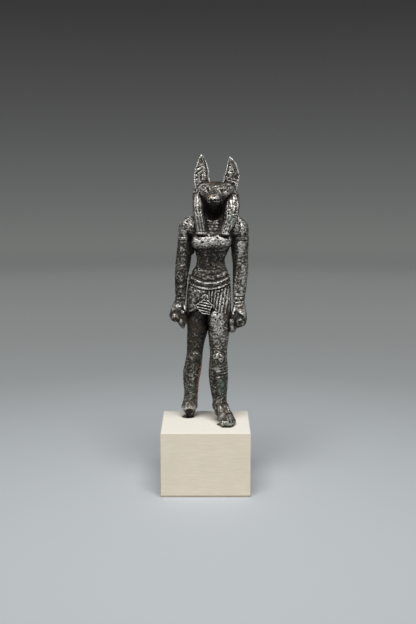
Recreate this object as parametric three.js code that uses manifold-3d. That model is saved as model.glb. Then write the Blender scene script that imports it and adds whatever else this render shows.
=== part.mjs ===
// A small standing Anubis in cast bronze, on the painted wood block that holds it up by its tangs.
// Millimetres, +Z up. The origin is the centre of the block's underside, and the figure faces -Y.
import * as THREE from "three";
import { mergeVertices } from "three/addons/utils/BufferGeometryUtils.js";
import Module from "manifold-3d";

const wasm = await Module();
wasm.setup();

// Driving dimensions, in millimetres
const FIGURE_HEIGHT = 146; // from the top of the block to the ear tips
const BLOCK_WIDTH = 48;
const BLOCK_DEPTH = 46;
const BLOCK_HEIGHT = 35.5;
const BLOCK_EDGE = 0.4; // bevel along every edge of the block
const TANG_WIDTH = 3.8;
const TANG_THICKNESS = 3.4;
const TANG_DEPTH = 14; // how far the tangs go down into the block
const HOLE_CLEARANCE = 1.6; // on each side of a tang, across its width

// The figure's form is laid out in shares of its height, and this many of them make the height.
const SHARES = 146;
const share = FIGURE_HEIGHT / SHARES;

// How square a section is: 2 is an ellipse
const BODY_POWER = 2.3;
const COLLAR_POWER = 3;
const FOOT_POWER = 2.6;
const FACE_POWER = 2.4;

// Carved detail, in shares of the height
const HAIR_STRANDS = 30; // round the whole wig
const LAPPET_STRANDS = [10, 12]; // round the left and the right lappet
const HAIR_DEPTH = 0.35;
const HAIR_FADE = [126.5, 130]; // the crown is smooth above these heights
const PLEATS = 34; // round the whole kilt
const PLEAT_DEPTH = 0.6;
const PLEAT_SWEEP = 0.7; // how far a front pleat leans to the middle on its way down, in radians
const BAND_PROUD = 0.15; // armlets and bracelets
const BAND_EDGES = [[100.0, 102.3], [67.4, 69.5]]; // their lower and upper edges
const BELT_HEIGHT = 81.2; // of its upper edge at the sides and the back
const BELT_SAG = 3.4; // how much lower the belt lies in front than at the sides
const BELT_WIDTH = 3.9;
const BELT_PROUD = 0.1;
const BELT_RIM = 0.45; // the raised rims of the belt
const COLLAR_BANDS = 4;
const COLLAR_GROOVE = 0.4;
const APRON_STRIPES = 6;
const STRIPE_SHARE = 0.6; // how much of a stripe's pitch is raised
const STRIPE_FALL = 0.22; // how steeply the stripes fall to the right
const MOUTH_DEPTH = 0.35;
const CHEEK_TAPER = 0.5; // how much narrower the head is at the jaw than at the eyes

// Stations of the upright forms: height above the block, place across, place back, half width, half depth.
const TORSO = [
  [70, 2.2, 5.0, 11.0, 6.6],
  [78, 2.5, 5.0, 10.8, 6.3],
  [82.7, 2.4, 4.9, 9.9, 5.6],
  [86, 2.7, 4.9, 8.2, 5.0],
  [89.5, 2.8, 4.8, 7.6, 4.8],
  [93, 3.2, 4.6, 8.6, 5.3],
  [97, 3.4, 4.4, 10.0, 6.0],
  [102, 3.8, 4.4, 11.3, 6.3],
  [107, 4.4, 4.7, 13.2, 5.6],
  [111, 5.0, 5.0, 11.6, 4.6],
  [114.5, 5.5, 5.2, 6.6, 4.0],
  [121, 5.5, 4.6, 5.0, 4.0],
];
const KILT = [
  [49, 1.2, 4.8, 12.4, 8.3],
  [56, 1.45, 4.9, 12.45, 8.3],
  [63, 1.65, 4.9, 12.35, 8.0],
  [71, 1.85, 5.0, 12.1, 7.5],
  [81, 2.25, 5.0, 10.9, 6.5],
];
const REAR_LEG = [
  [3.4, -9.3, 10.3, 2.7, 2.9],
  [5.2, -9.2, 10.3, 4.3, 4.7],
  [8.7, -8.7, 10.2, 4.15, 4.4],
  [13, -8.2, 9.9, 3.9, 3.9],
  [20.5, -8.1, 9.3, 4.4, 4.6],
  [26, -7.6, 8.6, 4.9, 5.2],
  [31.3, -6.8, 7.6, 4.7, 5.1],
  [37.5, -6.05, 6.4, 4.4, 4.9],
  [43, -5.5, 6.3, 4.8, 5.0],
  [49, -4.65, 6.2, 5.55, 5.6],
  [56, -4.3, 6.0, 5.8, 6.0],
  [62, -3.8, 5.6, 5.6, 5.8],
];
const FRONT_LEG = [
  [3.5, 9.2, 1.8, 3.8, 4.2],
  [8, 8.2, 1.6, 4.1, 4.2],
  [11.5, 7.7, 1.7, 3.9, 3.9],
  [18, 7.3, 2.3, 4.65, 4.6],
  [24, 7.0, 2.8, 5.25, 5.2],
  [30, 6.95, 2.6, 5.2, 5.2],
  [37.5, 7.05, 1.8, 4.65, 5.0],
  [43, 7.0, 2.4, 5.05, 5.0],
  [50, 7.2, 3.0, 5.9, 5.7],
  [57, 7.1, 3.3, 6.1, 5.9],
  [61, 6.8, 3.7, 6.0, 5.9],
  [64.5, 6.6, 4.6, 5.9, 5.7],
];
const LEFT_ARM = [
  [66.5, -13.7, 3.7, 2.75, 2.2],
  [70, -13.6, 4.2, 2.85, 2.5],
  [75.6, -13.4, 5.0, 3.3, 3.1],
  [81, -13.05, 5.7, 3.7, 3.6],
  [88, -12.2, 6.0, 4.1, 3.9],
  [95, -11.5, 5.6, 4.0, 4.0],
  [102.3, -11.3, 5.2, 3.65, 4.0],
  [107.5, -10.2, 5.0, 4.1, 4.3],
  [111, -9.2, 5.0, 3.4, 3.6],
  [113, -8.2, 5.0, 1.2, 1.5],
];
const RIGHT_ARM = [
  [65.5, 17.85, 3.7, 3.15, 2.3],
  [70, 18.2, 4.2, 3.5, 2.6],
  [75, 18.5, 5.0, 3.8, 3.1],
  [81, 18.8, 5.7, 4.1, 3.6],
  [86, 18.95, 6.0, 4.2, 3.9],
  [92.5, 18.5, 5.8, 4.55, 4.0],
  [99, 18.5, 5.4, 4.95, 4.0],
  [105, 18.9, 5.0, 4.5, 4.3],
  [109.5, 18.2, 5.0, 3.9, 4.0],
  [112.8, 17.0, 5.0, 1.5, 1.6],
];
const WIG = [
  [103.6, 5.1, 9.6, 8.2, 3.2],
  [107, 5.2, 8.9, 9.6, 4.7],
  [113, 5.6, 7.9, 12.3, 6.0],
  [118, 5.6, 7.4, 12.8, 6.7],
  [122.5, 5.5, 6.8, 12.7, 7.4],
  [126.5, 5.4, 6.2, 11.8, 7.7],
  [129.2, 5.4, 5.9, 9.5, 6.6],
  [130.9, 5.4, 5.7, 6.2, 4.4],
  [131.4, 5.4, 5.6, 2.6, 1.8],
];
const LEFT_LAPPET = [
  [103.9, -2.1, -1.3, 2.9, 2.3],
  [107, -2.55, -1.3, 2.8, 2.4],
  [112, -3.35, -1.0, 2.75, 2.6],
  [117, -4.1, -0.2, 2.75, 2.9],
  [121, -4.3, 1.0, 2.7, 3.0],
  [125, -4.3, 3.2, 1.8, 2.4],
];
const RIGHT_LAPPET = [
  [103.6, 10.2, -1.3, 2.6, 2.3],
  [107, 11.4, -1.3, 2.8, 2.4],
  [112, 13.5, -1.0, 3.5, 2.6],
  [117, 14.2, -0.2, 4.0, 2.9],
  [121, 14.3, 1.0, 3.9, 3.0],
  [125, 14.0, 3.2, 2.6, 2.4],
];
const COLLAR = [
  [103.4, 3.85, -0.5, 3.0, 1.9],
  [108, 3.95, 0.2, 3.2, 1.9],
  [112.4, 4.0, 1.2, 3.4, 1.9],
];
const STUMP = [
  [-0.5, -8.8, 10.3, 1.7, 1.6],
  [1.0, -8.8, 10.2, 1.9, 2.0],
  [3.0, -9.0, 10.2, 2.9, 3.2],
  [5.2, -9.2, 10.1, 4.0, 4.4],
  [8.7, -8.9, 10.0, 3.8, 4.0],
];

// The hem of the kilt round the body: turn in degrees from the viewer's right, and height.
const HEM = [
  [-180, 56.0],
  [-158, 61.0],
  [-118, 63.8],
  [-90, 64.6],
  [-79, 64.1],
  [-68, 62.3],
  [-52, 60.8],
  [-42, 59.3],
  [-33, 55.5],
  [-20, 51.6],
  [0, 50.6],
  [90, 50.2],
  [150, 51.0],
  [180, 56.0],
];
const HEM_MIDDLE = 58; // how high the kilt is hollow between the legs
const PLAIN_FRONT = [0.1, 0.25]; // left of here the front is worn plain, as a cosine of the turn

// Rounded forms of the body: middle and half sizes
const PECS = [[-0.9, 0.8, 100.0], [7.6, 0.8, 100.0]];
const PEC_HALF = [5.6, 3.7, 3.8];
const SHOULDERS = [[-7.4, 2.7, 107.4], [15.5, 2.8, 107.0]]; // between the lappets and the arms
const SHOULDER_HALF = [3.3, 3.4, 4.5];
const THIGH = [4.8, 0.7, 58.0]; // the front of the forward thigh, under the edge of the kilt
const THIGH_HALF = [3.0, 3.3, 5.0];
const THROAT = [4.3, -1.0, 116.6]; // the hollow between the lappets, under the muzzle
const THROAT_HALF = [5.6, 5.6, 5.6];
const BREAK = [-9.0, 4.6, 2.2]; // where the rear foot broke away
const BREAK_HALF = [4.0, 3.4, 3.9];

// Rods with round ends: from, to and radius
const LATS = [
  [[-7.6, 5.6, 103], [-6.9, 5.4, 94.6], 1.6],
  [[14.9, 5.6, 103], [13.9, 5.4, 98.4], 1.6],
]; // behind the armpits
const SLOTS = [
  [[-4.6, -2.6, 103.2], [0.9, -2.8, 103.2], 0.9],
  [[7.6, -2.8, 103.5], [12.0, -2.4, 102.4], 0.9],
]; // cut under the ends of the lappets
const GRIPS = [
  [[-17.2, -2.4, 62.0], [-12.6, -2.6, 62.6], 1.35],
  [[15.9, -2.4, 61.2], [17.9, -2.5, 60.6], 1.3],
  [[17.9, -2.5, 60.6], [20.6, -1.8, 58.8], 1.0],
]; // cut under the flare of each hand
const FINGERS = [
  [[-16.4, 1.5, 58.3], [-16.4, -1.1, 58.2], 2.6],
  [[18.6, 1.5, 56.6], [18.6, -0.9, 56.4], 2.9],
  [[-12.4, 2.6, 66.6], [-11.2, -0.7, 63.2], 0.8],
  [[-13.0, -1.2, 61.9], [-12.0, -1.8, 62.1], 0.9],
  [[16.4, 2.4, 64.9], [15.0, -1.4, 60.8], 0.85],
  [[-13.6, -0.6, 57.0], [-12.6, 0, 54.0], 1.4],
  [[14.2, -1.0, 56.0], [14.7, -0.4, 51.9], 1.5],
]; // the closed fingers, the thumbs and the little fingers

// The apron and the end of the sash above it: corners as place across and height.
const APRON = [[-5.6, 65.7], [-3.5, 62.6], [-1.6, 61.0], [2.3, 60.5], [2.4, 62.7], [3.9, 65.8], [-0.2, 69.6]];
const APRON_FRONT = -3.75; // place back of the face of the stripes
const STRIPE_DEPTH = 0.55;
const FLAP = [[-2.6, 69.4], [-0.3, 68.8], [1.8, 69.4], [1.2, 71.0], [-0.3, 71.8], [-1.8, 71.0]];
const FLAP_FRONT = -3.4;

// Stations of the ears: height, place across, half width.
const LEFT_EAR = [
  [126, -0.9, 3.9],
  [129, -1.3, 4.5],
  [132, -1.9, 4.35],
  [135, -2.1, 4.15],
  [138, -1.95, 3.65],
  [141, -1.95, 2.8],
  [144, -2.05, 1.5],
  [146, -2.2, 0.3],
];
const RIGHT_EAR = [
  [126, 12.6, 3.9],
  [129, 13.0, 4.3],
  [132, 13.5, 4.35],
  [135, 14.0, 4.15],
  [138, 14.2, 3.3],
  [141, 13.9, 2.4],
  [143.5, 13.4, 1.2],
  [144.8, 13.0, 0.3],
];
const EAR_BACK = 4.2; // place back of the ear rims
const EAR_CUP = 0.2; // depth of the hollow, as a share of the half width
const EAR_WALL = [1.5, 0.6]; // half thickness at the foot and at the tip

// The face runs forward from the skull to the nose: distance from the skull, half width, half height.
const SKULL = new THREE.Vector3(5.5, 4.5, 125);
const NOSE = new THREE.Vector3(3.85, -10.2, 122.3);
const FACE = [
  [0, 9.6, 6.4],
  [4, 9.0, 6.0],
  [7, 6.9, 4.9],
  [9.5, 4.7, 3.9],
  [12, 3.6, 3.1],
  [14.2, 3.1, 2.4],
  [15.3, 2.2, 1.6],
];
const EYES = [
  [7.3, -3.7, 4.0],
  [7.3, 4.7, 3.5],
]; // distance from the skull, place to the side, place above the face's axis
const EYE = [1.3, 0.9, 0.8]; // half width, half depth and half height of an eyeball
const JAW = [14.2, 0.2, -3.3]; // middle of the hollow under the muzzle, in the face's own directions
const JAW_HALF = [4.6, 4.4, 2.5];
const MOUTH_START = 0.55; // where the mouth line begins, as a share of the face's length
const MOUTH_LINE = [-0.35, 0.2]; // its middle and its reach up and down, as shares of the half height
const CHEEKS = [-0.5, 0.4]; // between these the head widens upward, as shares of the half height

// The foot runs forward from the heel: distance in front of the middle, places across of its left and
// its right edge at the sole, and height.
const SOLE = 1.5; // clear of the block
const FOOT = [
  [-6.6, 6.3, 10.6, 3.0],
  [-4.5, 6.3, 13.4, 5.6],
  [-1.5, 6.6, 15.4, 8.4],
  [1.5, 7.0, 16.3, 9.2],
  [4.5, 7.3, 16.8, 7.0],
  [8, 7.7, 16.2, 4.9],
  [11, 8.2, 15.2, 3.1],
  [13.3, 8.7, 14.0, 2.2],
];
const FOOT_LEAN = [-0.08, 0.5]; // how far its left and its right side lean in for each share of height
const FOOT_FALL = 0.3; // how much lower its top lies at the right, as a share of the height
const FOOT_FLAT = 0.55; // how much of the section below its middle is cut away flat

// Where the tangs stand under the figure, as place across and place back, and how far they reach up
// into it.
const REAR_TANG = [-8.8, 10.3];
const REAR_TANG_TOP = 4;
const REAR_HOLE_OFF = [-1.0, 0]; // from the middle of the tang to the middle of its hole
const FRONT_TANG = [9.9, -5.0];
const FRONT_TANG_TOP = 3;
const FRONT_HOLE_OFF = [-0.4, -0.6];

// Fists: the back of the hand down to the knuckles, as stations of an upright form
const LEFT_HAND = [
  [52, -12.3, 2.2, 0.6, 1.2],
  [53.8, -12.7, 2.0, 1.6, 2.6],
  [55.3, -13.0, 2.0, 2.3, 3.2],
  [57.8, -14.75, 2.6, 4.6, 3.9],
  [61, -15.1, 2.6, 4.2, 3.8],
  [64.5, -14.8, 3.2, 3.6, 3.0],
  [67.5, -14.1, 3.8, 2.4, 2.2],
];
const RIGHT_HAND = [
  [49.5, 14.5, 2.2, 0.8, 1.2],
  [50.8, 14.7, 2.0, 1.7, 2.4],
  [52.2, 14.95, 2.0, 2.2, 3.0],
  [53.4, 16.9, 2.4, 4.0, 3.6],
  [55.5, 17.55, 2.6, 4.6, 3.9],
  [60.5, 18.1, 2.6, 4.1, 3.8],
  [64, 18.3, 3.2, 3.4, 3.0],
  [67, 18.4, 3.8, 2.6, 2.3],
];

// Mesh helpers

// A closed skin as a solid that can be joined and cut.
function solid(skin) {
  skin.deleteAttribute("normal");
  skin.deleteAttribute("uv");
  const merged = mergeVertices(skin, 1e-4);
  return new wasm.Manifold(
    new wasm.Mesh({
      numProp: 3,
      vertProperties: merged.getAttribute("position").array,
      triVerts: new Uint32Array(merged.index.array),
    }),
  );
}

// A skin worked from a cylinder. place says where a point goes, from its turn round the axis,
// its run along the axis from 0 to 1 and its reach from the axis to the skin.
function moulded(around, along, place) {
  const skin = new THREE.CylinderGeometry(1, 1, 1, around, along);
  const points = skin.getAttribute("position");
  for (let i = 0; i < points.count; i += 1) {
    const across = points.getX(i);
    const back = -points.getZ(i);
    const spot = place(Math.atan2(back, across), points.getY(i) + 0.5, Math.hypot(across, back));
    points.setXYZ(i, spot[0] * share, spot[1] * share, BLOCK_HEIGHT + spot[2] * share);
  }
  return solid(skin);
}

// The numbers of a row of stations at any place between them, on a smooth curve.
function smooth(rows) {
  const curve = new THREE.CubicInterpolant(
    rows.map((row) => row[0]),
    rows.flatMap((row) => row.slice(1)),
    rows[0].length - 1,
  );
  return (place) => Array.from(curve.evaluate(place));
}

// A point of a rounded section: power 2 is an ellipse, and a higher power is squarer.
function rounded(turn, power) {
  const shape = (value) => Math.sign(value) * Math.abs(value) ** (2 / power);
  return [shape(Math.cos(turn)), shape(Math.sin(turn))];
}

// An upright form through its stations, with a number of rings from each station to the next.
function upright(rows, { around, rings = 1, power = 2, relief = () => 0 }) {
  const at = smooth(rows);
  const along = (rows.length - 1) * rings;
  return moulded(around, along, (turn, run, reach) => {
    const place = run * (rows.length - 1);
    const below = Math.min(Math.floor(place + 1e-6), rows.length - 2);
    const height = THREE.MathUtils.lerp(rows[below][0], rows[below + 1][0], place - below);
    const [across, back, wide, deep] = at(height);
    const [x, y] = rounded(turn, power);
    const skin = relief(turn, run, height);
    return [across + x * reach * (wide - skin), back + y * reach * (deep - skin), height];
  });
}

// A raised band round an upright form, between two heights.
function band(rows, low, high, around) {
  const at = smooth(rows);
  return moulded(around, 1, (turn, run, reach) => {
    const height = THREE.MathUtils.lerp(low, high, run);
    const [across, back, wide, deep] = at(height);
    const x = Math.cos(turn) * reach * (wide + BAND_PROUD);
    const y = Math.sin(turn) * reach * (deep + BAND_PROUD);
    return [across + x, back + y, height];
  });
}

// A ball with three half sizes.
function ball(middle, half, around = 10, along = 5) {
  const skin = new THREE.SphereGeometry(1, around, along);
  skin.rotateX(Math.PI / 2);
  skin.scale(half[0] * share, half[1] * share, half[2] * share);
  skin.translate(middle[0] * share, middle[1] * share, BLOCK_HEIGHT + middle[2] * share);
  return solid(skin);
}

// A rod with round ends between two points.
function rod(from, to, radius) {
  const start = new THREE.Vector3(...from);
  const end = new THREE.Vector3(...to);
  const skin = new THREE.CapsuleGeometry(radius * share, start.distanceTo(end) * share, 2, 6);
  const along = new THREE.Vector3().subVectors(end, start).normalize();
  skin.applyQuaternion(new THREE.Quaternion().setFromUnitVectors(new THREE.Vector3(0, 1, 0), along));
  const middle = start.add(end).multiplyScalar(share / 2);
  skin.translate(middle.x, middle.y, BLOCK_HEIGHT + middle.z);
  return solid(skin);
}

// A flat outline, given as places across and heights, between two depths.
function slab(outline, front, back) {
  const shape = new THREE.Shape(outline.map(([x, z]) => new THREE.Vector2(x * share, z * share)));
  const skin = new THREE.ExtrudeGeometry(shape, { depth: (back - front) * share, bevelEnabled: false });
  skin.rotateX(Math.PI / 2);
  skin.translate(0, back * share, BLOCK_HEIGHT);
  return solid(skin);
}

const joined = (pieces) => pieces.reduce((whole, piece) => whole.add(piece));
const rods = (rows) => rows.map(([from, to, radius]) => rod(from, to, radius));

// 1 on the ridges and 0 in the valleys of a number of even ridges round a form.
const ridge = (turn, ridges) => 0.5 + 0.5 * Math.cos(turn * ridges);

// Torso

function torso() {
  const trunk = upright(TORSO, { around: 18, power: BODY_POWER });
  const pecs = PECS.map((place) => ball(place, PEC_HALF));
  const shoulders = SHOULDERS.map((place) => ball(place, SHOULDER_HALF, 8, 4));
  return joined([trunk, ...pecs, ...shoulders, ...rods(LATS)]);
}

function collar() {
  return upright(COLLAR, {
    around: 12,
    rings: COLLAR_BANDS,
    power: COLLAR_POWER,
    relief: (turn, run) => COLLAR_GROOVE * ridge(run * 2 * Math.PI, COLLAR_BANDS),
  });
}

// Kilt and belt

// Height of the belt's upper edge: level at the sides and the back, and sagging in front.
function beltTop(turn) {
  return BELT_HEIGHT - BELT_SAG * Math.max(0, -Math.sin(turn)) ** 2;
}

const hemAt = smooth(HEM);

// Height of the hem: high behind the apron, and down to the sides and the back.
const hem = (turn) => hemAt(THREE.MathUtils.radToDeg(turn))[0];

function kilt() {
  const at = smooth(KILT);
  return moulded(PLEATS * 2, 5, (turn, run, reach) => {
    const foot = reach > 0.5 ? hem(turn) : HEM_MIDDLE;
    const height = THREE.MathUtils.lerp(foot, beltTop(turn) - BELT_WIDTH / 4, run);
    const [across, back, wide, deep] = at(height);
    const front = Math.max(0, -Math.sin(turn));
    const swept = turn - PLEAT_SWEEP * front * Math.cos(turn) * (1 - run);
    const [x, y] = rounded(swept, BODY_POWER);
    const worn = front * (1 - THREE.MathUtils.smoothstep(Math.cos(turn), ...PLAIN_FRONT));
    const skin = PLEAT_DEPTH * (1 - worn) * ridge(turn, PLEATS);
    return [across + x * reach * (wide - skin), back + y * reach * (deep - skin), height];
  });
}

function belt() {
  const at = smooth(KILT);
  const rim = BELT_WIDTH / 8;
  const levels = [-BELT_WIDTH, -BELT_WIDTH + rim, -BELT_WIDTH + 2 * rim, -2 * rim, -rim, 0];
  const rims = [0, 1, 0, 0, 1, 0];
  return moulded(24, levels.length - 1, (turn, run, reach) => {
    const step = Math.round(run * (levels.length - 1));
    const height = beltTop(turn) + levels[step];
    const [across, back, wide, deep] = at(height);
    const [x, y] = rounded(turn, BODY_POWER);
    const skin = BELT_PROUD + BELT_RIM * rims[step];
    return [across + x * reach * (wide + skin), back + y * reach * (deep + skin), height];
  });
}

function apron() {
  const panel = slab(APRON, APRON_FRONT + STRIPE_DEPTH, 0);
  const heights = APRON.map(([, height]) => height);
  const left = APRON[0][0];
  const right = Math.max(...APRON.map(([across]) => across));
  const low = Math.min(...heights) + STRIPE_FALL * right;
  const pitch = (Math.max(...heights) - low) / APRON_STRIPES;
  const stripes = Array.from({ length: APRON_STRIPES }, (_, i) => {
    const foot = low + pitch * i;
    const top = foot + pitch * STRIPE_SHARE;
    const [rise, fall] = [-STRIPE_FALL * left, STRIPE_FALL * right];
    const corners = [[left, foot + rise], [right, foot - fall], [right, top - fall], [left, top + rise]];
    return slab(corners, APRON_FRONT, 0);
  });
  const raised = joined(stripes).intersect(slab(APRON, APRON_FRONT - 1, 0));
  return joined([panel, raised, slab(FLAP, FLAP_FRONT, 0)]);
}

// Legs and foot

function foot() {
  const at = smooth(FOOT);
  const heel = FOOT[0][0];
  const toe = FOOT.at(-1)[0];
  return moulded(14, 9, (turn, run, reach) => {
    const forward = THREE.MathUtils.lerp(heel, toe, run);
    const [left, right, tall] = at(forward);
    const [x, z] = rounded(turn, FOOT_POWER);
    const side = (x * reach + 1) / 2;
    const top = tall * (1 - FOOT_FALL * side ** 1.5);
    const up = Math.max(0, (z * reach + FOOT_FLAT) / (1 + FOOT_FLAT)) * top;
    const across = THREE.MathUtils.lerp(left + FOOT_LEAN[0] * up, right - FOOT_LEAN[1] * up, side);
    return [across, -forward, SOLE + up];
  });
}

function legs() {
  const rear = joined([upright(REAR_LEG, { around: 14 }), upright(STUMP, { around: 10 })]);
  const front = joined([upright(FRONT_LEG, { around: 14 }), ball(THIGH, THIGH_HALF, 8, 4)]);
  return joined([rear.subtract(ball(BREAK, BREAK_HALF)), front, foot()]);
}

// Tang under a foot: down into the block, in its own size, and up into the bronze above it.
function tang([across, back], up) {
  const half = TANG_WIDTH / 2;
  const shape = new THREE.Shape();
  shape.absellipse(across * share, back * share, half, TANG_THICKNESS / 2, 0, 2 * Math.PI, false);
  const skin = new THREE.ExtrudeGeometry(shape, {
    depth: TANG_DEPTH + up * share,
    bevelEnabled: false,
    curveSegments: 6,
  });
  skin.translate(0, 0, BLOCK_HEIGHT - TANG_DEPTH);
  return solid(skin);
}

// Arms and fists

function arm(rows) {
  const plain = upright(rows, { around: 12 });
  const bands = BAND_EDGES.map(([low, high]) => band(rows, low, high, 12));
  return joined([plain, ...bands]);
}

function fists() {
  const hands = [LEFT_HAND, RIGHT_HAND].map((rows) => upright(rows, { around: 12, power: BODY_POWER }));
  return joined([joined(hands).subtract(joined(rods(GRIPS))), ...rods(FINGERS)]);
}

// Head

function face() {
  const forward = new THREE.Vector3().subVectors(NOSE, SKULL).normalize();
  const side = new THREE.Vector3().crossVectors(new THREE.Vector3(0, 0, 1), forward).normalize();
  const up = new THREE.Vector3().crossVectors(forward, side);
  const spot = (ahead, aside, above) =>
    SKULL.clone()
      .addScaledVector(forward, ahead)
      .addScaledVector(side, aside)
      .addScaledVector(up, above)
      .toArray();
  const at = smooth(FACE);
  const long = FACE.at(-1)[0];
  const muzzle = moulded(16, 9, (turn, run, reach) => {
    const [wide, tall] = at(long * run);
    const [round, z] = rounded(turn, FACE_POWER);
    const jaw = 1 - CHEEK_TAPER * (1 - run);
    const x = round * THREE.MathUtils.lerp(jaw, 1, THREE.MathUtils.smoothstep(z, ...CHEEKS));
    const mouth = run > MOUTH_START && Math.abs(z - MOUTH_LINE[0]) < MOUTH_LINE[1];
    const lip = mouth ? MOUTH_DEPTH : 0;
    return spot(long * run, x * reach * (wide - lip), z * reach * tall);
  });
  const eyes = EYES.map((place) => ball(spot(...place), EYE, 8, 5));
  return joined([muzzle.subtract(ball(spot(...JAW), JAW_HALF)), ...eyes]);
}

function ear(rows) {
  const at = smooth(rows);
  const foot = rows[0][0];
  const tip = rows.at(-1)[0];
  return moulded(12, 8, (turn, run, reach) => {
    const height = THREE.MathUtils.lerp(foot, tip, run);
    const [across, wide] = at(height);
    const wall = THREE.MathUtils.lerp(EAR_WALL[0], EAR_WALL[1], run);
    const x = Math.cos(turn) * reach;
    const cup = EAR_CUP * wide * (1 - x * x);
    return [across + x * wide, EAR_BACK + cup + Math.sin(turn) * reach * wall, height];
  });
}

function wig() {
  const strands = (rows, count) =>
    upright(rows, {
      around: count * 2,
      power: BODY_POWER,
      relief: (turn, run, height) => {
        const fade = THREE.MathUtils.smoothstep(height, ...HAIR_FADE);
        return HAIR_DEPTH * (1 - fade) * (1 - ridge(turn, count));
      },
    });
  const mass = strands(WIG, HAIR_STRANDS);
  const lappets = [LEFT_LAPPET, RIGHT_LAPPET].map((rows, i) => strands(rows, LAPPET_STRANDS[i]));
  return joined([mass, ...lappets]);
}

// The figure, one casting

const dressed = joined([torso(), collar(), kilt(), belt(), apron(), wig()]);
const hollowed = dressed.subtract(joined([ball(THROAT, THROAT_HALF), ...rods(SLOTS)]));
const figure = joined([
  hollowed,
  legs(),
  arm(LEFT_ARM),
  arm(RIGHT_ARM),
  fists(),
  face(),
  ear(LEFT_EAR),
  ear(RIGHT_EAR),
  tang(REAR_TANG, REAR_TANG_TOP),
  tang(FRONT_TANG, FRONT_TANG_TOP),
]);

// The block, with a blind hole round each tang

function block() {
  const half = [BLOCK_WIDTH / 2 - BLOCK_EDGE, BLOCK_DEPTH / 2 - BLOCK_EDGE];
  const top = new THREE.Shape([
    new THREE.Vector2(-half[0], -half[1]),
    new THREE.Vector2(half[0], -half[1]),
    new THREE.Vector2(half[0], half[1]),
    new THREE.Vector2(-half[0], half[1]),
  ]);
  const skin = new THREE.ExtrudeGeometry(top, {
    depth: BLOCK_HEIGHT - 2 * BLOCK_EDGE,
    bevelThickness: BLOCK_EDGE,
    bevelSize: BLOCK_EDGE,
    bevelSegments: 2,
  });
  skin.translate(0, 0, BLOCK_EDGE);
  const places = [[REAR_TANG, REAR_HOLE_OFF], [FRONT_TANG, FRONT_HOLE_OFF]];
  const holes = places.map(([[across, back], [aside, behind]]) => {
    const radius = TANG_WIDTH / 2 + HOLE_CLEARANCE;
    const bore = new THREE.CylinderGeometry(radius, radius, TANG_DEPTH * 2, 28);
    bore.rotateX(Math.PI / 2);
    bore.translate((across + aside) * share, (back + behind) * share, BLOCK_HEIGHT);
    return solid(bore);
  });
  return solid(skin).subtract(joined(holes));
}

// Scene graph

function named(name, body, color, roughness, metalness) {
  const { numProp, vertProperties, triVerts } = body.getMesh();
  const geometry = new THREE.BufferGeometry();
  geometry.setAttribute("position", new THREE.BufferAttribute(new Float32Array(vertProperties), numProp));
  geometry.setIndex(new THREE.BufferAttribute(triVerts, 1));
  geometry.computeVertexNormals();
  const mesh = new THREE.Mesh(geometry, new THREE.MeshStandardMaterial({ color, roughness, metalness }));
  mesh.name = name;
  return mesh;
}

const statue = new THREE.Group();
statue.add(named("anubis_figure", figure, 0x45413b, 0.5, 0.8));
statue.add(named("mount_block", block(), 0xe4ded0, 0.7, 0));

export default statue;
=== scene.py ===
"""A small standing Anubis in cast bronze on its painted wood block: its looks, built round the solids.

The figure is laid out in shares of its height, as its solid is: place across (+ is the viewer's right),
place back (+ is away from the viewer) and height above the block. It is a field of signed distances on a
grid, to which forms are added and from which grooves are cut, and its skin becomes one mesh.
"""

import math
from functools import reduce
from itertools import product

import bpy
import numpy as np
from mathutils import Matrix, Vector


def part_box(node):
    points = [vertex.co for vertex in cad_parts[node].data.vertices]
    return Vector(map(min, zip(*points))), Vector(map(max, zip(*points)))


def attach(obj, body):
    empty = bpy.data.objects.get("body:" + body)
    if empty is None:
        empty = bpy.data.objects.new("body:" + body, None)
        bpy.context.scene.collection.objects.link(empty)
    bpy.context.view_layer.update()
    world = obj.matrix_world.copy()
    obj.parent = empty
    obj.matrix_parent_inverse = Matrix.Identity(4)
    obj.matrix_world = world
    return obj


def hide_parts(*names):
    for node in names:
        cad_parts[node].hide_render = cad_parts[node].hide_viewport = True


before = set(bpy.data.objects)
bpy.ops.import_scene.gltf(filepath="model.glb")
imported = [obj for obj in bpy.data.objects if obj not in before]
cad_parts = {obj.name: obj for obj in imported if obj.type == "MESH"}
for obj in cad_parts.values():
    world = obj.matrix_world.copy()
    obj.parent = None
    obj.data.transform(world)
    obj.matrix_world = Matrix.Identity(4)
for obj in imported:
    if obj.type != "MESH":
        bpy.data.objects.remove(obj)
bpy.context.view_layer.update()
BLOCK_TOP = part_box("mount_block")[1].z
FIGURE_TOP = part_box("anubis_figure")[1].z

SHARES = 146  # from the top of the block to the ear tips
SHARE = (FIGURE_TOP - BLOCK_TOP) / SHARES  # in metres

# The grid that the figure is worked on, in shares
PITCH = 0.28
MARGIN = 3.0
GRID_LOW = (-21, -15.6, -14.4)
GRID_HIGH = (24.6, 16.8, 147.4)
FAR = 9.0  # the distance where no form is near
MOST_TRIANGLES = 192000

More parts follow.
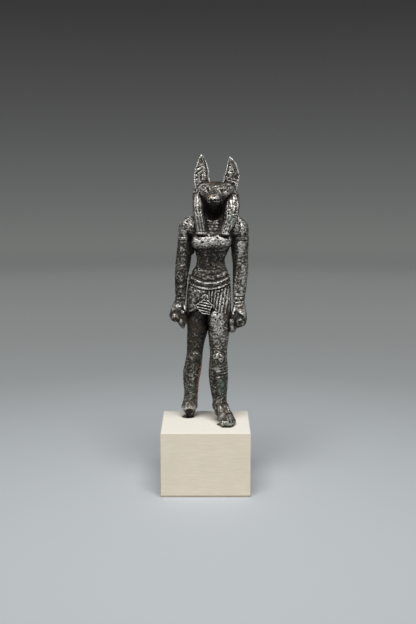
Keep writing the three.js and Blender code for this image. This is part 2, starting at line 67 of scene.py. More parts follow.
# Stations of the upright forms: height above the block, place across, place back, half width, half depth
TORSO = [
    (70, 2.2, 5, 11, 6.6), (78, 2.5, 5, 10.8, 6.3), (82.7, 2.4, 4.9, 9.9, 5.6),
    (86, 2.7, 4.9, 8.2, 5), (89.5, 2.8, 4.8, 7.6, 4.8), (93, 3.2, 4.6, 8.6, 5.3),
    (97, 3.4, 4.4, 10, 6), (102, 3.8, 4.4, 11.3, 6.3), (107, 4.4, 4.7, 13.2, 5.6),
    (111, 5, 5, 11.6, 4.6), (114.5, 5.5, 5.2, 6.6, 4), (121, 5.5, 4.6, 5, 4),
]
KILT = [
    (49, 1.2, 4.8, 12.4, 8.3), (56, 1.45, 4.9, 12.45, 8.3), (63, 1.65, 4.9, 12.35, 8),
    (71, 1.85, 5, 12.1, 7.5), (81, 2.25, 5, 10.9, 6.5),
]
REAR_LEG = [
    (3.4, -9.3, 10.3, 2.7, 2.9), (5.2, -9.2, 10.3, 4.3, 4.7), (8.7, -8.7, 10.2, 4.15, 4.4),
    (13, -8.2, 9.9, 3.9, 3.9), (20.5, -8.1, 9.3, 4.4, 4.6), (26, -7.6, 8.6, 4.9, 5.2),
    (31.3, -6.8, 7.6, 4.7, 5.1), (37.5, -6.05, 6.4, 4.4, 4.9), (43, -5.5, 6.3, 4.8, 5),
    (49, -4.65, 6.2, 5.55, 5.6), (56, -4.3, 6, 5.8, 6), (62, -3.8, 5.6, 5.6, 5.8),
]
FRONT_LEG = [
    (3.5, 9.2, 1.8, 3.8, 4.2), (8, 8.2, 1.6, 4.1, 4.2), (11.5, 7.7, 1.7, 3.9, 3.9),
    (18, 7.3, 2.3, 4.65, 4.6), (24, 7, 2.8, 5.25, 5.2), (30, 6.95, 2.6, 5.2, 5.2),
    (37.5, 7.05, 1.8, 4.65, 5), (43, 7, 2.4, 5.05, 5), (50, 7.2, 3, 5.9, 5.7),
    (57, 7.1, 3.3, 6.1, 5.9), (61, 6.8, 3.7, 6, 5.9), (64.5, 6.6, 4.6, 5.9, 5.7),
]
LEFT_ARM = [
    (66.5, -13.7, 3.7, 2.75, 2.2), (70, -13.6, 4.2, 2.85, 2.5), (75.6, -13.4, 5, 3.3, 3.1),
    (81, -13.05, 5.7, 3.7, 3.6), (88, -12.2, 6, 4.1, 3.9), (95, -11.5, 5.6, 4, 4),
    (102.3, -11.3, 5.2, 3.65, 4), (107.5, -10.2, 5, 4.1, 4.3), (111, -9.2, 5, 3.4, 3.6),
    (113, -8.2, 5, 1.2, 1.5),
]
RIGHT_ARM = [
    (65.5, 17.85, 3.7, 3.15, 2.3), (70, 18.2, 4.2, 3.5, 2.6), (75, 18.5, 5, 3.8, 3.1),
    (81, 18.8, 5.7, 4.1, 3.6), (86, 18.95, 6, 4.2, 3.9), (92.5, 18.5, 5.8, 4.55, 4),
    (99, 18.5, 5.4, 4.95, 4), (105, 18.9, 5, 4.5, 4.3), (109.5, 18.2, 5, 3.9, 4),
    (112.8, 17, 5, 1.5, 1.6),
]
WIG = [
    (103.6, 5.1, 9.6, 8.2, 3.2), (107, 5.2, 8.9, 9.6, 4.7), (113, 5.6, 7.9, 12.3, 6),
    (118, 5.6, 7.4, 12.8, 6.7), (122.5, 5.5, 6.8, 12.7, 7.4), (126.5, 5.4, 6.2, 11.8, 7.7),
    (129.2, 5.4, 5.9, 9.5, 6.6), (130.9, 5.4, 5.7, 6.2, 4.4), (131.4, 5.4, 5.6, 2.6, 1.8),
]
LEFT_LAPPET = [
    (103.9, -2.1, -1.3, 2.9, 2.3), (107, -2.55, -1.3, 2.8, 2.4),
    (112, -3.35, -1, 2.75, 2.6), (117, -4.1, -0.2, 2.75, 2.9), (121, -4.3, 1, 2.7, 3),
    (125, -4.3, 3.2, 1.8, 2.4),
]
RIGHT_LAPPET = [
    (103.6, 10.2, -1.3, 2.6, 2.3), (107, 11.4, -1.3, 2.8, 2.4), (112, 13.5, -1, 3.5, 2.6),
    (117, 14.2, -0.2, 4, 2.9), (121, 14.3, 1, 3.9, 3), (125, 14, 3.2, 2.6, 2.4),
]
COLLAR = [
    (103.4, 3.85, -0.5, 3, 1.9), (108, 3.95, 0.2, 3.2, 1.9), (112.4, 4, 1.2, 3.4, 1.9),
]

# Stations of the ears: height, place across, half width
LEFT_EAR = [
    (126, -0.9, 3.9), (129, -1.3, 4.5), (132, -1.9, 4.35), (135, -2.1, 4.15),
    (138, -1.95, 3.65), (141, -1.95, 2.8), (144, -2.05, 1.5), (146, -2.2, 0.3),
]
RIGHT_EAR = [
    (126, 12.6, 3.9), (129, 13, 4.3), (132, 13.5, 4.35), (135, 14, 4.15), (138, 14.2, 3.3),
    (141, 13.9, 2.4), (143.5, 13.4, 1.2), (144.8, 13, 0.3),
]
EAR_BACK = 4.2
EAR_CUP = 0.2
EAR_WALL = (1.5, 0.6)  # about half the shell's thickness, at the foot and at the tip

# The face runs forward from the skull to the nose: distance from the skull, half width, half height
SKULL = np.array((5.5, 4.5, 125.0))
NOSE = np.array((3.85, -10.2, 122.3))
FACE = [
    (0, 9.6, 6.4), (4, 9, 6), (7, 6.9, 4.9), (9.5, 4.7, 3.9), (12, 3.6, 3.1),
    (14.2, 3.1, 2.4), (15.3, 2.2, 1.6),
]
CHEEK_TAPER = 0.5  # how much narrower the face is below than above, at the skull

# The foot runs forward from the heel: distance in front of the middle, places across of its left and its
# right edge at the sole, and height
SOLE = 1.5
FOOT = [
    (-6.6, 6.3, 10.6, 3), (-4.5, 6.3, 13.4, 5.6), (-1.5, 6.6, 15.4, 8.4),
    (1.5, 7, 16.3, 9.2), (4.5, 7.3, 16.8, 7), (8, 7.7, 16.2, 4.9), (11, 8.2, 15.2, 3.1),
    (13.3, 8.7, 14, 2.2),
]
FOOT_LEAN = (-0.08, 0.5)  # how far its left and its right side lean in for each share of height
FOOT_FALL = 0.3  # how much lower its top lies at the right than at the left, as a share of the height

# Fists, from the finger ends up to the wrist
LEFT_HAND = [
    (52, -12.3, 2.2, 0.6, 1.2), (53.8, -12.7, 2, 1.6, 2.6), (55.3, -13, 2, 2.3, 3.2),
    (57.8, -14.75, 2.6, 4.6, 3.9), (61, -15.1, 2.6, 4.2, 3.8), (64.5, -14.8, 3.2, 3.6, 3),
    (67.5, -14.1, 3.8, 2.4, 2.2),
]
RIGHT_HAND = [
    (49.5, 14.5, 2.2, 0.8, 1.2), (50.8, 14.7, 2, 1.7, 2.4), (52.2, 14.95, 2, 2.2, 3),
    (53.4, 16.9, 2.4, 4, 3.6), (55.5, 17.55, 2.6, 4.6, 3.9), (60.5, 18.1, 2.6, 4.1, 3.8),
    (64, 18.3, 3.2, 3.4, 3), (67, 18.4, 3.8, 2.6, 2.3),
]

# Tangs: place across and place back of each, half width and half thickness, and how deep they go
REAR_TANG = (-8.8, 10.3)
FRONT_TANG = (9.9, -5)
TANG_HALF = (1.9, 1.7)
TANG_DEPTH = 14

SQUARISH = 2.3  # the power of the squarer sections

# Carved detail
HAIR_STRANDS = 30  # round the wig
HAIR_DEPTH = 0.5
PLEATS = 34  # round the kilt
PLEAT_DEPTH = 1.1
PLEAT_SWEEP = 0.7  # how far the pleats of the front swing aside at the hem, in radians
BELT_HEIGHT = 81.2
BELT_SAG = 3.4  # how much lower the belt lies in front
BELT_WIDTH = 3.9

# The hem of the kilt round the body: turn in degrees from the viewer's right, and height
HEM = [
    (-180, 56), (-158, 61), (-140, 61.8), (-118, 63.8), (-90, 64.6), (-79, 64.1),
    (-68, 62.3), (-52, 60.8), (-42, 59.3), (-33, 55.5), (-20, 51.6), (0, 50.6), (90, 50.2),
    (150, 51), (180, 56),
]
BAND_EDGES = ((100, 102.3), (67.4, 69.5))  # armlets and bracelets
ARM_FOLD = 103.4  # height of the crease above the armlets


# Shapes of numbers

def step(value, low, high):
    """0 below low, 1 above high and a smooth rise between them."""
    part = np.clip((value - low) / (high - low), 0, 1)
    return part * part * (3 - 2 * part)


def mix(low, high, part):
    return low + (high - low) * part


def notch(value, half):
    """1 at 0 and falling smoothly to nothing at about twice the half width."""
    return np.exp(-((value / half) ** 2))


def smooth(rows):
    """The numbers of a row of stations at any place between them, on a smooth curve."""
    table = np.array(rows, np.float32)
    at, values = table[:, 0], table[:, 1:]
    slopes = np.gradient(values, at, axis=0)

    def numbers(place):
        place = np.clip(place, at[0], at[-1])
        i = np.clip(np.searchsorted(at, place, side="right") - 1, 0, len(at) - 2)
        gap = at[i + 1] - at[i]
        t = (place - at[i]) / gap
        found = []
        for column in range(values.shape[1]):
            a, b = values[i, column], values[i + 1, column]
            m, n = slopes[i, column] * gap, slopes[i + 1, column] * gap
            found.append(
                a * (1 + 2 * t) * (1 - t) ** 2 + m * t * (1 - t) ** 2
                + b * t * t * (3 - 2 * t) + n * t * t * (t - 1)
            )
        return found

    return numbers


def section(x, y, wide, deep, power):
    """Distance to a rounded section: power 2 is an ellipse, and a higher power is squarer."""
    u, v = np.abs(x / wide) + 1e-4, np.abs(y / deep) + 1e-4
    reach = (u ** power + v ** power) ** (1 / power)
    slope = reach ** (1 - power) * np.hypot(u ** (power - 1) / wide, v ** (power - 1) / deep)
    return (reach - 1) / slope


# Forms: the lowest and highest corner of each, and its distance at a point

def upright(rows, power=2.0, relief=None):
    """An upright form through its stations. relief says how far in the skin lies at a point and its turn."""
    numbers = smooth(rows)
    table = np.array(rows)
    low = ((table[:, 1] - table[:, 3]).min(), (table[:, 2] - table[:, 4]).min(), table[0, 0])
    high = ((table[:, 1] + table[:, 3]).max(), (table[:, 2] + table[:, 4]).max(), table[-1, 0])

    def distance(x, y, z):
        across, back, wide, deep = numbers(z)
        flat = section(x - across, y - back, wide, deep, power)
        if relief is not None:
            flat = flat + relief(x, y, z, turn_round(x, y, (across, back, wide, deep)))
        return meet(flat, low[2] - z, z - high[2])

    return low, high, distance


def ball(middle, half):
    middle, half = np.array(middle), np.array(half)

    def distance(x, y, z):
        u, v, w = (x - middle[0]) / half[0], (y - middle[1]) / half[1], (z - middle[2]) / half[2]
        reach = np.sqrt(u * u + v * v + w * w) + 1e-4
        slope = np.sqrt((u / half[0]) ** 2 + (v / half[1]) ** 2 + (w / half[2]) ** 2) + 1e-4
        return reach * (reach - 1) / slope

    return middle - half, middle + half, distance


def rod(start, end, thick, tip=None):
    """A rod with round ends, from one radius to another."""
    start, end = np.array(start, float), np.array(end, float)
    tip = thick if tip is None else tip
    along = end - start
    most = max(thick, tip)

    def distance(x, y, z):
        px, py, pz = x - start[0], y - start[1], z - start[2]
        part = np.clip((px * along[0] + py * along[1] + pz * along[2]) / (along @ along), 0, 1)
        away = [p - part * a for p, a in zip((px, py, pz), along)]
        return np.sqrt(sum(gap * gap for gap in away)) - mix(thick, tip, part)

    return np.minimum(start, end) - most, np.maximum(start, end) + most, distance


class Bronze:
    """The figure as a field of distances on a grid: below zero is metal."""

    def __init__(self):
        self.axes = [np.arange(a, b, PITCH, dtype=np.float32) for a, b in zip(GRID_LOW, GRID_HIGH)]
        self.field = np.full([len(axis) for axis in self.axes], FAR, np.float32)

    def window(self, low, high, margin=MARGIN):
        """The part of the grid round a box, and its places as three arrays."""
        ends = zip(self.axes, low, high)
        cuts = tuple(slice(*np.searchsorted(axis, (a - margin, b + margin))) for axis, a, b in ends)
        x, y, z = (axis[cut] for axis, cut in zip(self.axes, cuts))
        return cuts, x[:, None, None], y[None, :, None], z[None, None, :]

    def add(self, form, blend=0.0):
        low, high, distance = form
        cuts, x, y, z = self.window(low, high)
        self.field[cuts] = union(self.field[cuts], distance(x, y, z), blend)

    def cut(self, form, blend=0.0):
        low, high, distance = form
        cuts, x, y, z = self.window(low, high)
        self.field[cuts] = -union(-self.field[cuts], distance(x, y, z), blend)

    def press(self, low, high, depth):
        """Presses the skin in by depth(x, y, z) within a box. A negative depth raises it."""
        cuts, x, y, z = self.window(low, high, 0)
        self.field[cuts] += depth(x, y, z).astype(np.float32)


def union(a, b, blend):
    """The space of two forms together, with a softened join."""
    if not blend:
        return np.minimum(a, b)
    near = np.maximum(blend - np.abs(a - b), 0) / blend
    return np.minimum(a, b) - near * near * blend / 4


def shared(a, b, blend):
    """The space shared by two forms, with a softened edge."""
    return -union(-a, -b, blend)


def meet(*forms):
    """The space shared by forms, with a sharp edge."""
    return reduce(np.maximum, forms)


def ridges(angle, power):
    """1 in the grooves and 0 on the ridges of a wave. A higher power makes the grooves narrower."""
    return (0.5 + 0.5 * np.cos(angle)) ** power


def turn_round(x, y, numbers):
    """The turn of a point round an upright form, in radians from the viewer's right."""
    across, back, wide, deep = numbers
    return np.arctan2((y - back) / deep, (x - across) / wide)


# Torso

PEC_HALF = (5.6, 3.7, 3.8)
PEC_PLACES = ((-0.9, 0.8, 100), (7.6, 0.8, 100))
CHEST = ((-4.8, 0.4, 99), (10.6, 0.4, 100))  # the level lower edge of the chest
CHEST_RADIUS = 2.5
LATS = (((-7.6, 5.6, 103), (-7.6, 5.4, 93.6)), ((14.9, 5.6, 103), (13.9, 5.4, 98.4)))  # behind the armpits
LATS_RADIUS = 1.6
SHOULDERS = ((-7.4, 2.7, 107.4), (15.5, 2.8, 107))  # between the lappets and the arms
SHOULDER_HALF = (3.3, 3.4, 4.5)
BLADE_HALF = (4.6, 2.2, 5)
BLADE_PLACES = ((-2.4, 8.6, 102), (9.6, 8.6, 102))
NIPPLES = (((-1.66, -2.7, 99.8), 0.75), ((9.3, -2.7, 99.5), 0.45))
NAVEL = (2.9, -0.4, 86.6)
NAVEL_HALF = (0.9, 1.2, 0.8)
UNDER_CHEST = (96.2, 0.08)  # height of the crease at the middle, and its rise to the right
FOLDS = ((84.4, 2.6, 0.28), (81.8, 3.4, 0.2))  # height at the middle, rise to the sides, depth
COLLAR_LINES = (105.4, 107.2, 108.9, 110.4, 111.6)


def torso(bronze):
    bronze.add(upright(TORSO, power=SQUARISH))
    for place in PEC_PLACES:
        bronze.add(ball(place, PEC_HALF), blend=3.2)
    bronze.add(rod(*CHEST, CHEST_RADIUS), blend=2.5)
    for start, end in LATS:
        bronze.add(rod(start, end, LATS_RADIUS), blend=0.6)
    for place in SHOULDERS:
        bronze.add(ball(place, SHOULDER_HALF), blend=1.5)
    for place in BLADE_PLACES:
        bronze.add(ball(place, BLADE_HALF), blend=2.5)

    def spine(x, y, z):
        return 0.7 * notch(x - mix(2.6, 4.4, step(z, 82, 108)), 1.1) * step(y, 7, 9)

    def midline(x, y, z):
        front = 1 - step(y, 0, 1.5)
        return 0.3 * notch(x - 3.0, 0.8) * front * step(z, 84, 87) * (1 - step(z, 91, 94))

    def under_chest(x, y, z):
        line = UNDER_CHEST[0] + UNDER_CHEST[1] * (x - 3.4)
        return 0.3 * notch(z - line, 0.9) * (1 - step(y, 1.5, 3.5))

    def folds(x, y, z):
        belly = (x - 2.9) / 9
        crease = sum(depth * notch(z - level - rise * belly * belly, 0.5) for level, rise, depth in FOLDS)
        return crease * (1 - step(np.abs(belly), 0.5, 0.8)) * (1 - step(y, 0, 2))

    bronze.press((-8, 6, 80), (16, 13, 110), spine)
    bronze.press((0, -4, 82), (7, 2, 102), midline)
    bronze.press((-8, -4, 91), (15, 4, 99), under_chest)
    bronze.press((-8, -4, 79), (14, 4, 90), folds)
    bronze.cut(ball(NAVEL, NAVEL_HALF), blend=0.4)
    for place, half in NIPPLES:
        bronze.cut(ball(place, (half, 0.9, half * 0.75)), blend=0.15)


def collar(bronze):
    def bands(x, y, z, turn):
        return sum(0.3 * notch(z - height, 0.35) for height in COLLAR_LINES)

    bronze.add(upright(COLLAR, power=3, relief=bands), blend=0.3)


# Kilt, belt and apron

def belt_top(turn):
    return BELT_HEIGHT - BELT_SAG * np.maximum(0, -np.sin(turn)) ** 2


hem_numbers = smooth(HEM)


def hem(turn):
    return hem_numbers(np.degrees(turn))[0]


KILT_BOX = ((-13, -5, 48), (16, 14, 82))
PLAIN_TURN = (-1.8, -1.45)  # left of here the front of the kilt is worn plain, in radians
BACK_TURN = (2.9, 3.1)  # here the pleats of the back begin
HEM_EDGE = 0.35  # how far the edge of the hem stands out
BELT_PROUD = 0.1
BELT_RIM = 0.27
BELT_RIM_IN = 0.45  # from the edge of the belt to the middle of its rim
BELT_GROOVE = 0.45
CREASES = (
    ((-6, -1.8, 66), (-1.4, -2.8, 70.4)),
    ((0.7, -2.9, 70.2), (4.5, -2.8, 66.4)),
    ((4.5, -2.8, 66.4), (5.5, -2.7, 63.7)),
)


def kilt(bronze):
    numbers = smooth(KILT)

    def places(x, y, z):
        across, back, wide, deep = numbers(z)
        turn = turn_round(x, y, (across, back, wide, deep))
        return turn, section(x - across, y - back, wide, deep, SQUARISH)

    def cloth(x, y, z):
        turn, flat = places(x, y, z)
        front = np.maximum(0, -np.sin(turn))
        end = hem(turn)
        run = np.clip((z - end) / (belt_top(turn) - end), 0, 1)
        laid = turn + PLEAT_SWEEP * front * np.cos(turn) * (1 - run)
        worn = step(-turn, -PLAIN_TURN[1], -PLAIN_TURN[0]) * (1 - step(-turn, *BACK_TURN))
        groove = ridges(laid * PLEATS, 1.2)
        edge = notch(z - end - 0.5, 0.5) * worn
        flat = flat + PLEAT_DEPTH * (1 - worn) * groove * (1 - edge) - HEM_EDGE * edge
        return meet(flat, end - z, z - belt_top(turn) + 1)

    def band(x, y, z):
        turn, flat = places(x, y, z)
        up = z - belt_top(turn) + BELT_WIDTH
        rims = notch(up - BELT_RIM_IN, 0.4) + notch(up - BELT_WIDTH + BELT_RIM_IN, 0.4)
        flat = flat - BELT_PROUD - BELT_RIM * rims
        return meet(flat, -up, up - BELT_WIDTH)

    def groove(x, y, z):
        turn, flat = places(x, y, z)
        up = z - belt_top(turn)
        above, below = notch(up - 0.75, 0.55), notch(up + BELT_WIDTH + 0.5, 0.4)
        middle = notch(up + BELT_WIDTH * 0.62, 0.55)
        return BELT_GROOVE * (above + 0.7 * below + 0.7 * middle) * (1 - step(np.abs(flat), 1.0, 1.6))

    bronze.add((*KILT_BOX, cloth), blend=0.2)
    bronze.add((*KILT_BOX, band), blend=0.15)
    bronze.press((-13, -5, 70), (16, 14, 84), groove)
    for start, end in CREASES:
        bronze.cut(rod(start, end, 0.45), blend=0.25)


APRON = ((-5.6, 65.7), (-3.5, 62.6), (-1.6, 61), (2.3, 60.5), (2.4, 62.7), (3.9, 65.8), (-0.2, 69.6))
APRON_PITCH = 1.5
APRON_FALL = 0.22  # how much the stripes fall to the right
APRON_PROUD = -3.75  # place back of the face of the apron
FLAP_IN = 0.35  # how far the sash's end lies behind it
FLAP = ((-2.6, 69.4), (-0.3, 68.8), (1.8, 69.4), (1.2, 71), (-0.3, 71.8), (-1.8, 71))  # the sash's end


def outline(corners):
    """Distance to a flat outline of corners in order."""
    ends = corners[1:] + corners[:1]

    def distance(x, z):
        gap, sign = FAR ** 2, 1.0
        for (ax, az), (bx, bz) in zip(corners, ends):
            ex, ez, px, pz = bx - ax, bz - az, x - ax, z - az
            part = np.clip((px * ex + pz * ez) / (ex * ex + ez * ez), 0, 1)
            gap = np.minimum(gap, (px - ex * part) ** 2 + (pz - ez * part) ** 2)
            rises, falls = (z >= az) & (z < bz), (z < az) & (z >= bz)
            turn = ex * pz - ez * px
            sign = np.where((rises & (turn > 0)) | (falls & (turn < 0)), -sign, sign)
        return sign * np.sqrt(gap)

    return distance


def apron(bronze):
    edge = outline(APRON)

    def panel(x, y, z):
        stripes = (z + APRON_FALL * x) / APRON_PITCH
        groove = ridges(stripes * 2 * math.pi, 1.2)
        inside = edge(x, z)
        bar = APRON_PROUD + 1.0 * groove * step(-inside, 0.25, 0.6)
        return meet(inside, bar - y, y)

    flap_edge = outline(FLAP)

    def flap(x, y, z):
        return meet(flap_edge(x, z), APRON_PROUD + FLAP_IN - y, y)

    bronze.add(((-3.5, -4, 67.5), (3, 0.5, 72), flap), blend=0.15)
    bronze.add(((-6.5, -4, 60), (5.5, 0.5, 70.5), panel))


# Legs and feet

SHINS = (((7.1, -1.6, 33), (7.7, -1.4, 12)), ((-6.4, 3.3, 33), (-8.2, 6.6, 13)))
THIGH = (4.8, 0.7, 58)  # the front of the forward thigh, under the edge of the kilt
THIGH_HALF = (3, 3.3, 5)
KNEE_HALF = (2.7, 1.6, 2.6)
KNEES = ((7, -2.6, 37.2), (-6.1, 2.2, 36.8))
ANKLE_HALF = (1, 1.6, 1.6)
ANKLES = ((4.6, 2, 8.6), (11.9, 2.6, 8))
INSTEP = ((7.6, -1.9, 11.4), (8.3, -4.2, 8.2), (9.4, -8.6, 5))
TOE_GAPS = (9.6, 11.3, 12.9, 14.3)
TOE_PIT = (13.3, -12.7, 3.5)
TOE_PIT_HALF = (0.85, 1.3, 0.9)
FRONT_LEG_BARS = (26.7, 28.4, 30.1)
KNEE_CREASE = 39.4


def foot(bronze):
    numbers = smooth(FOOT)
    heel, toe = FOOT[0][0], FOOT[-1][0]

    def sole(x, y, z):
        left, right, tall = numbers(-y)
        up = z - SOLE
        side = np.clip((x - left) / (right - left), 0, 1)
        top = up - tall * (1 - FOOT_FALL * side ** 1.5)
        walls = shared(left + FOOT_LEAN[0] * up - x, (x - right + FOOT_LEAN[1] * up) * 0.9, 1.0)
        ends = np.maximum(heel + y, -y - toe)
        return np.maximum(shared(shared(top * 0.8, walls, 1.1), ends, 0.7), -up)

    def toes(x, y, z):
        gaps = sum(notch(x - place, 0.25) for place in TOE_GAPS)
        return 0.07 * gaps * step(-y, 9.5, 11.5)

    bronze.add(((3, -14, 1), (18, 7, 12), sole), blend=0.9)
    for start, end in zip(INSTEP, INSTEP[1:]):
        bronze.add(rod(start, end, 0.2, 0.15), blend=2.4)
    bronze.press((8, -15, 1), (16, -8, 6), toes)
    bronze.cut(ball(TOE_PIT, TOE_PIT_HALF), blend=0.1)


def legs(bronze):
    bronze.add(upright(REAR_LEG))
    bronze.add(upright(FRONT_LEG))
    foot(bronze)
    for top, low in SHINS:
        bronze.add(rod(top, low, 1.4, 1.0), blend=1.8)
    bronze.add(ball(THIGH, THIGH_HALF), blend=2)
    for knee in KNEES:
        bronze.add(ball(knee, KNEE_HALF), blend=1.6)
    for ankle in ANKLES:
        bronze.add(ball(ankle, ANKLE_HALF), blend=1.2)

    def creases(x, y, z):
        bars = sum(0.35 * notch(z - level - 0.1 * (x - 9), 0.35) for level in FRONT_LEG_BARS)
        knee = 0.2 * notch(z - KNEE_CREASE + 0.05 * (x - 7) ** 2, 0.8)
        return (bars * step(x, 5.5, 8) + knee) * (1 - step(y, 0, 2.5))

    bronze.press((2, -6, 24), (13, 4, 42), creases)
    stump(bronze)


STUMP = [
    (-0.5, -8.8, 10.3, 1.7, 1.7), (1, -8.8, 10.2, 1.9, 2), (3, -9, 10.2, 2.9, 3.2),
    (5.2, -9.2, 10.1, 4, 4.4), (8.7, -8.9, 10, 3.8, 4),
]
BREAK = (-9, 4.6, 2.2)
BREAK_HALF = (4, 3.4, 3.9)


def stump(bronze):
    """The broken end of the rear leg: a ragged edge in front, and metal behind it, narrow as the tang."""
    bronze.add(upright(STUMP), blend=0.3)
    bronze.cut(ball(BREAK, BREAK_HALF), blend=0.15)


def tangs(bronze):
    for (across, back), up in ((REAR_TANG, 2), (FRONT_TANG, 3)):
        numbers = (across, back) + TANG_HALF
        bronze.add(upright([(-TANG_DEPTH, *numbers), (0, *numbers), (up, *numbers)]), blend=0.3)


# Arms and fists

BAND_PROUD = 0.12
BAND_LINE = 0.3
ELBOW_HALF = (1.8, 1.2, 2.2)
ELBOWS = ((-12.8, 9.3, 86.5), (19.2, 9.3, 86))
GRIPS = (  # the hollow under the flare of each hand
    ((-17.9, -1.6, 61.3), (-15.7, -2, 62.4), 1.1),
    ((-15.7, -2, 62.4), (-13.7, -2.2, 61.4), 1.1),
    ((15.7, -1.8, 61.8), (17.6, -1.9, 60.6), 1),
    ((17.6, -1.9, 60.6), (20.5, -1.3, 58.6), 0.95),
)
ROLLS = (  # the closed fingers
    ((-16.5, 1.5, 58.5), (-16.6, -1.1, 58.6), 2.45),
    ((18.7, 1.5, 56.5), (18.8, -0.9, 56.2), 2.7),
)
THUMBS = (
    ((-12.4, 2.6, 66.6), (-11.3, -0.6, 63.2), 0.65),
    ((-13, -1, 61.8), (-12.2, -1.4, 61.6), 0.8),
    ((16.4, 2.4, 64.9), (15, -1.4, 60.8), 0.8),
)
LOBES = (  # the ends of the fingers below them
    ((-13.6, -0.6, 57), (-12.5, 0, 53.8), 1.2),
    ((14.2, -0.6, 56.4), (14.6, -0.2, 51.7), 1.35),
)


def arms(bronze):
    def bands(x, y, z, turn):
        depth = 0
        for low, high in BAND_EDGES:
            depth = depth - BAND_PROUD * step(z, low, low + 0.4) * (1 - step(z, high - 0.4, high))
            depth = depth + BAND_LINE * (notch(z - low, 0.35) + notch(z - high, 0.35))
        return depth + 0.45 * notch(z - ARM_FOLD, 0.9)

    for rows in (LEFT_ARM, RIGHT_ARM):
        bronze.add(upright(rows, relief=bands), blend=0.8)
    for elbow in ELBOWS:
        bronze.add(ball(elbow, ELBOW_HALF), blend=1.5)


def fists(bronze):
    for rows in (LEFT_HAND, RIGHT_HAND):
        bronze.add(upright(rows, power=SQUARISH), blend=0.5)
    for start, end, thick in GRIPS:
        bronze.cut(rod(start, end, thick), blend=0.1)
    for start, end, thick in ROLLS + THUMBS + LOBES:
        bronze.add(rod(start, end, thick), blend=0.45)
    for start, end, thick in ROLLS:  # the flat, slightly hollow end of the closed fingers
        middle = np.array(end) - (0, thick + 0.1, 0.2)
        bronze.cut(ball(middle, (thick * 0.8, 0.5, thick * 0.7)), blend=0.5)


# Head

def unit(arrow):
    return arrow / np.linalg.norm(arrow)


AHEAD = unit(NOSE - SKULL)
ASIDE = unit(np.cross((0, 0, 1), AHEAD))
ABOVE = np.cross(AHEAD, ASIDE)


def on_face(ahead, aside, above):
    """The place of a point given in the face's own directions from the skull."""
    return SKULL + ahead * AHEAD + aside * ASIDE + above * ABOVE


def face_places(x, y, z):
    px, py, pz = x - SKULL[0], y - SKULL[1], z - SKULL[2]
    return [px * arrow[0] + py * arrow[1] + pz * arrow[2] for arrow in (AHEAD, ASIDE, ABOVE)]


# In the face's own directions: ahead, aside and above
SOCKETS = ((7.9, -3.7, 4.5), (7.6, 5, 4))
SOCKET_HALF = (1.7, 1, 0.8)
SLITS = (
    ((5.9, -4.1, 4.9), (8.8, -3, 3.3)),
    ((8, 4, 3.9), (6.9, 4.9, 4.3)),
    ((6.9, 4.9, 4.3), (6, 6, 3.8)),
)
LIDS = (((6.2, -2.9, 5.1), (7.8, -2.3, 4.4)), ((7.6, 3.6, 4.5), (6.7, 4.5, 5)))
NOSE_PAD = (14.6, 0, 1)
NOSE_PAD_HALF = (1.9, 1.1, 1)
NOSTRIL = (15.4, 1.1, 0.75)
NOSTRIL_HALF = (0.5, 0.6, 0.42)
JAW = (14.2, 0.2, -3.3)
JAW_HALF = (4.6, 4.4, 2.5)
FACE_LOW, FACE_HIGH = (-6, -12.5, 116), (16, 5, 133)
THROAT = (4.3, -1, 116.6)
THROAT_HALF = (5.6, 5.6, 5.6)


def face(bronze):
    numbers = smooth(FACE)
    long = FACE[-1][0]

    def muzzle(x, y, z):
        ahead, aside, above = face_places(x, y, z)
        wide, tall = numbers(ahead)
        run = np.clip(ahead / long, 0, 1)
        taper = mix(1 - CHEEK_TAPER * (1 - run), 1, step(above / tall, -0.5, 0.4))
        flat = section(aside, above, wide * taper, tall, 2.4)
        return meet(flat, -ahead, ahead - long)

    def mouth(x, y, z):
        ahead, aside, above = face_places(x, y, z)
        line = above + 0.75 - 0.06 * ahead
        return 0.5 * notch(line, 0.3) * step(ahead, 7.5, 9)

    bronze.cut(ball(THROAT, THROAT_HALF), blend=0.8)
    bronze.add((FACE_LOW, FACE_HIGH, muzzle), blend=0.6)
    bronze.press(FACE_LOW, FACE_HIGH, mouth)
    bronze.cut(ball(on_face(*JAW), JAW_HALF), blend=0.6)
    for place in SOCKETS:
        bronze.cut(ball(on_face(*place), SOCKET_HALF), blend=0.9)
    for start, end in SLITS:
        bronze.cut(rod(on_face(*start), on_face(*end), 0.6), blend=0.1)
    for start, end in LIDS:
        bronze.add(rod(on_face(*start), on_face(*end), 0.35), blend=0.4)
    bronze.add(ball(on_face(*NOSE_PAD), NOSE_PAD_HALF), blend=0.6)
    ahead, aside, above = NOSTRIL
    for side in (-aside, aside):
        bronze.cut(ball(on_face(ahead, side, above), NOSTRIL_HALF), blend=0.2)


EAR_NOTCH = ((-6.3, 2.8, 131.3), (-3.1, 0.3, 127.4))  # between the left ear and the wig
# Cuts in the ears: place across and height of both ends, and radius
EAR_CUTS = (
    ((-5.4, 135.6), (-1.4, 138.5), 0.35), ((-3, 135.2), (-0.6, 136.8), 0.3),
    ((-4.6, 138.7), (-1.9, 139.9), 0.3), ((-5.3, 133.2), (-3.8, 134), 0.25),
    ((-2.5, 134.2), (-2.4, 132.2), 0.4), ((-2.3, 130.4), (-1.8, 131.2), 0.4),
    ((10.3, 134.5), (11, 134.8), 0.35), ((12.2, 134.6), (13.2, 135), 0.3),
    ((12.4, 132.8), (13.6, 132.4), 0.3), ((15, 132.2), (16, 131.4), 0.25),
    ((13.2, 136.9), (14.4, 136.4), 0.25), ((11.6, 138.4), (12.4, 138.1), 0.2),
    ((14.8, 130.4), (15.4, 130.2), 0.4),
)


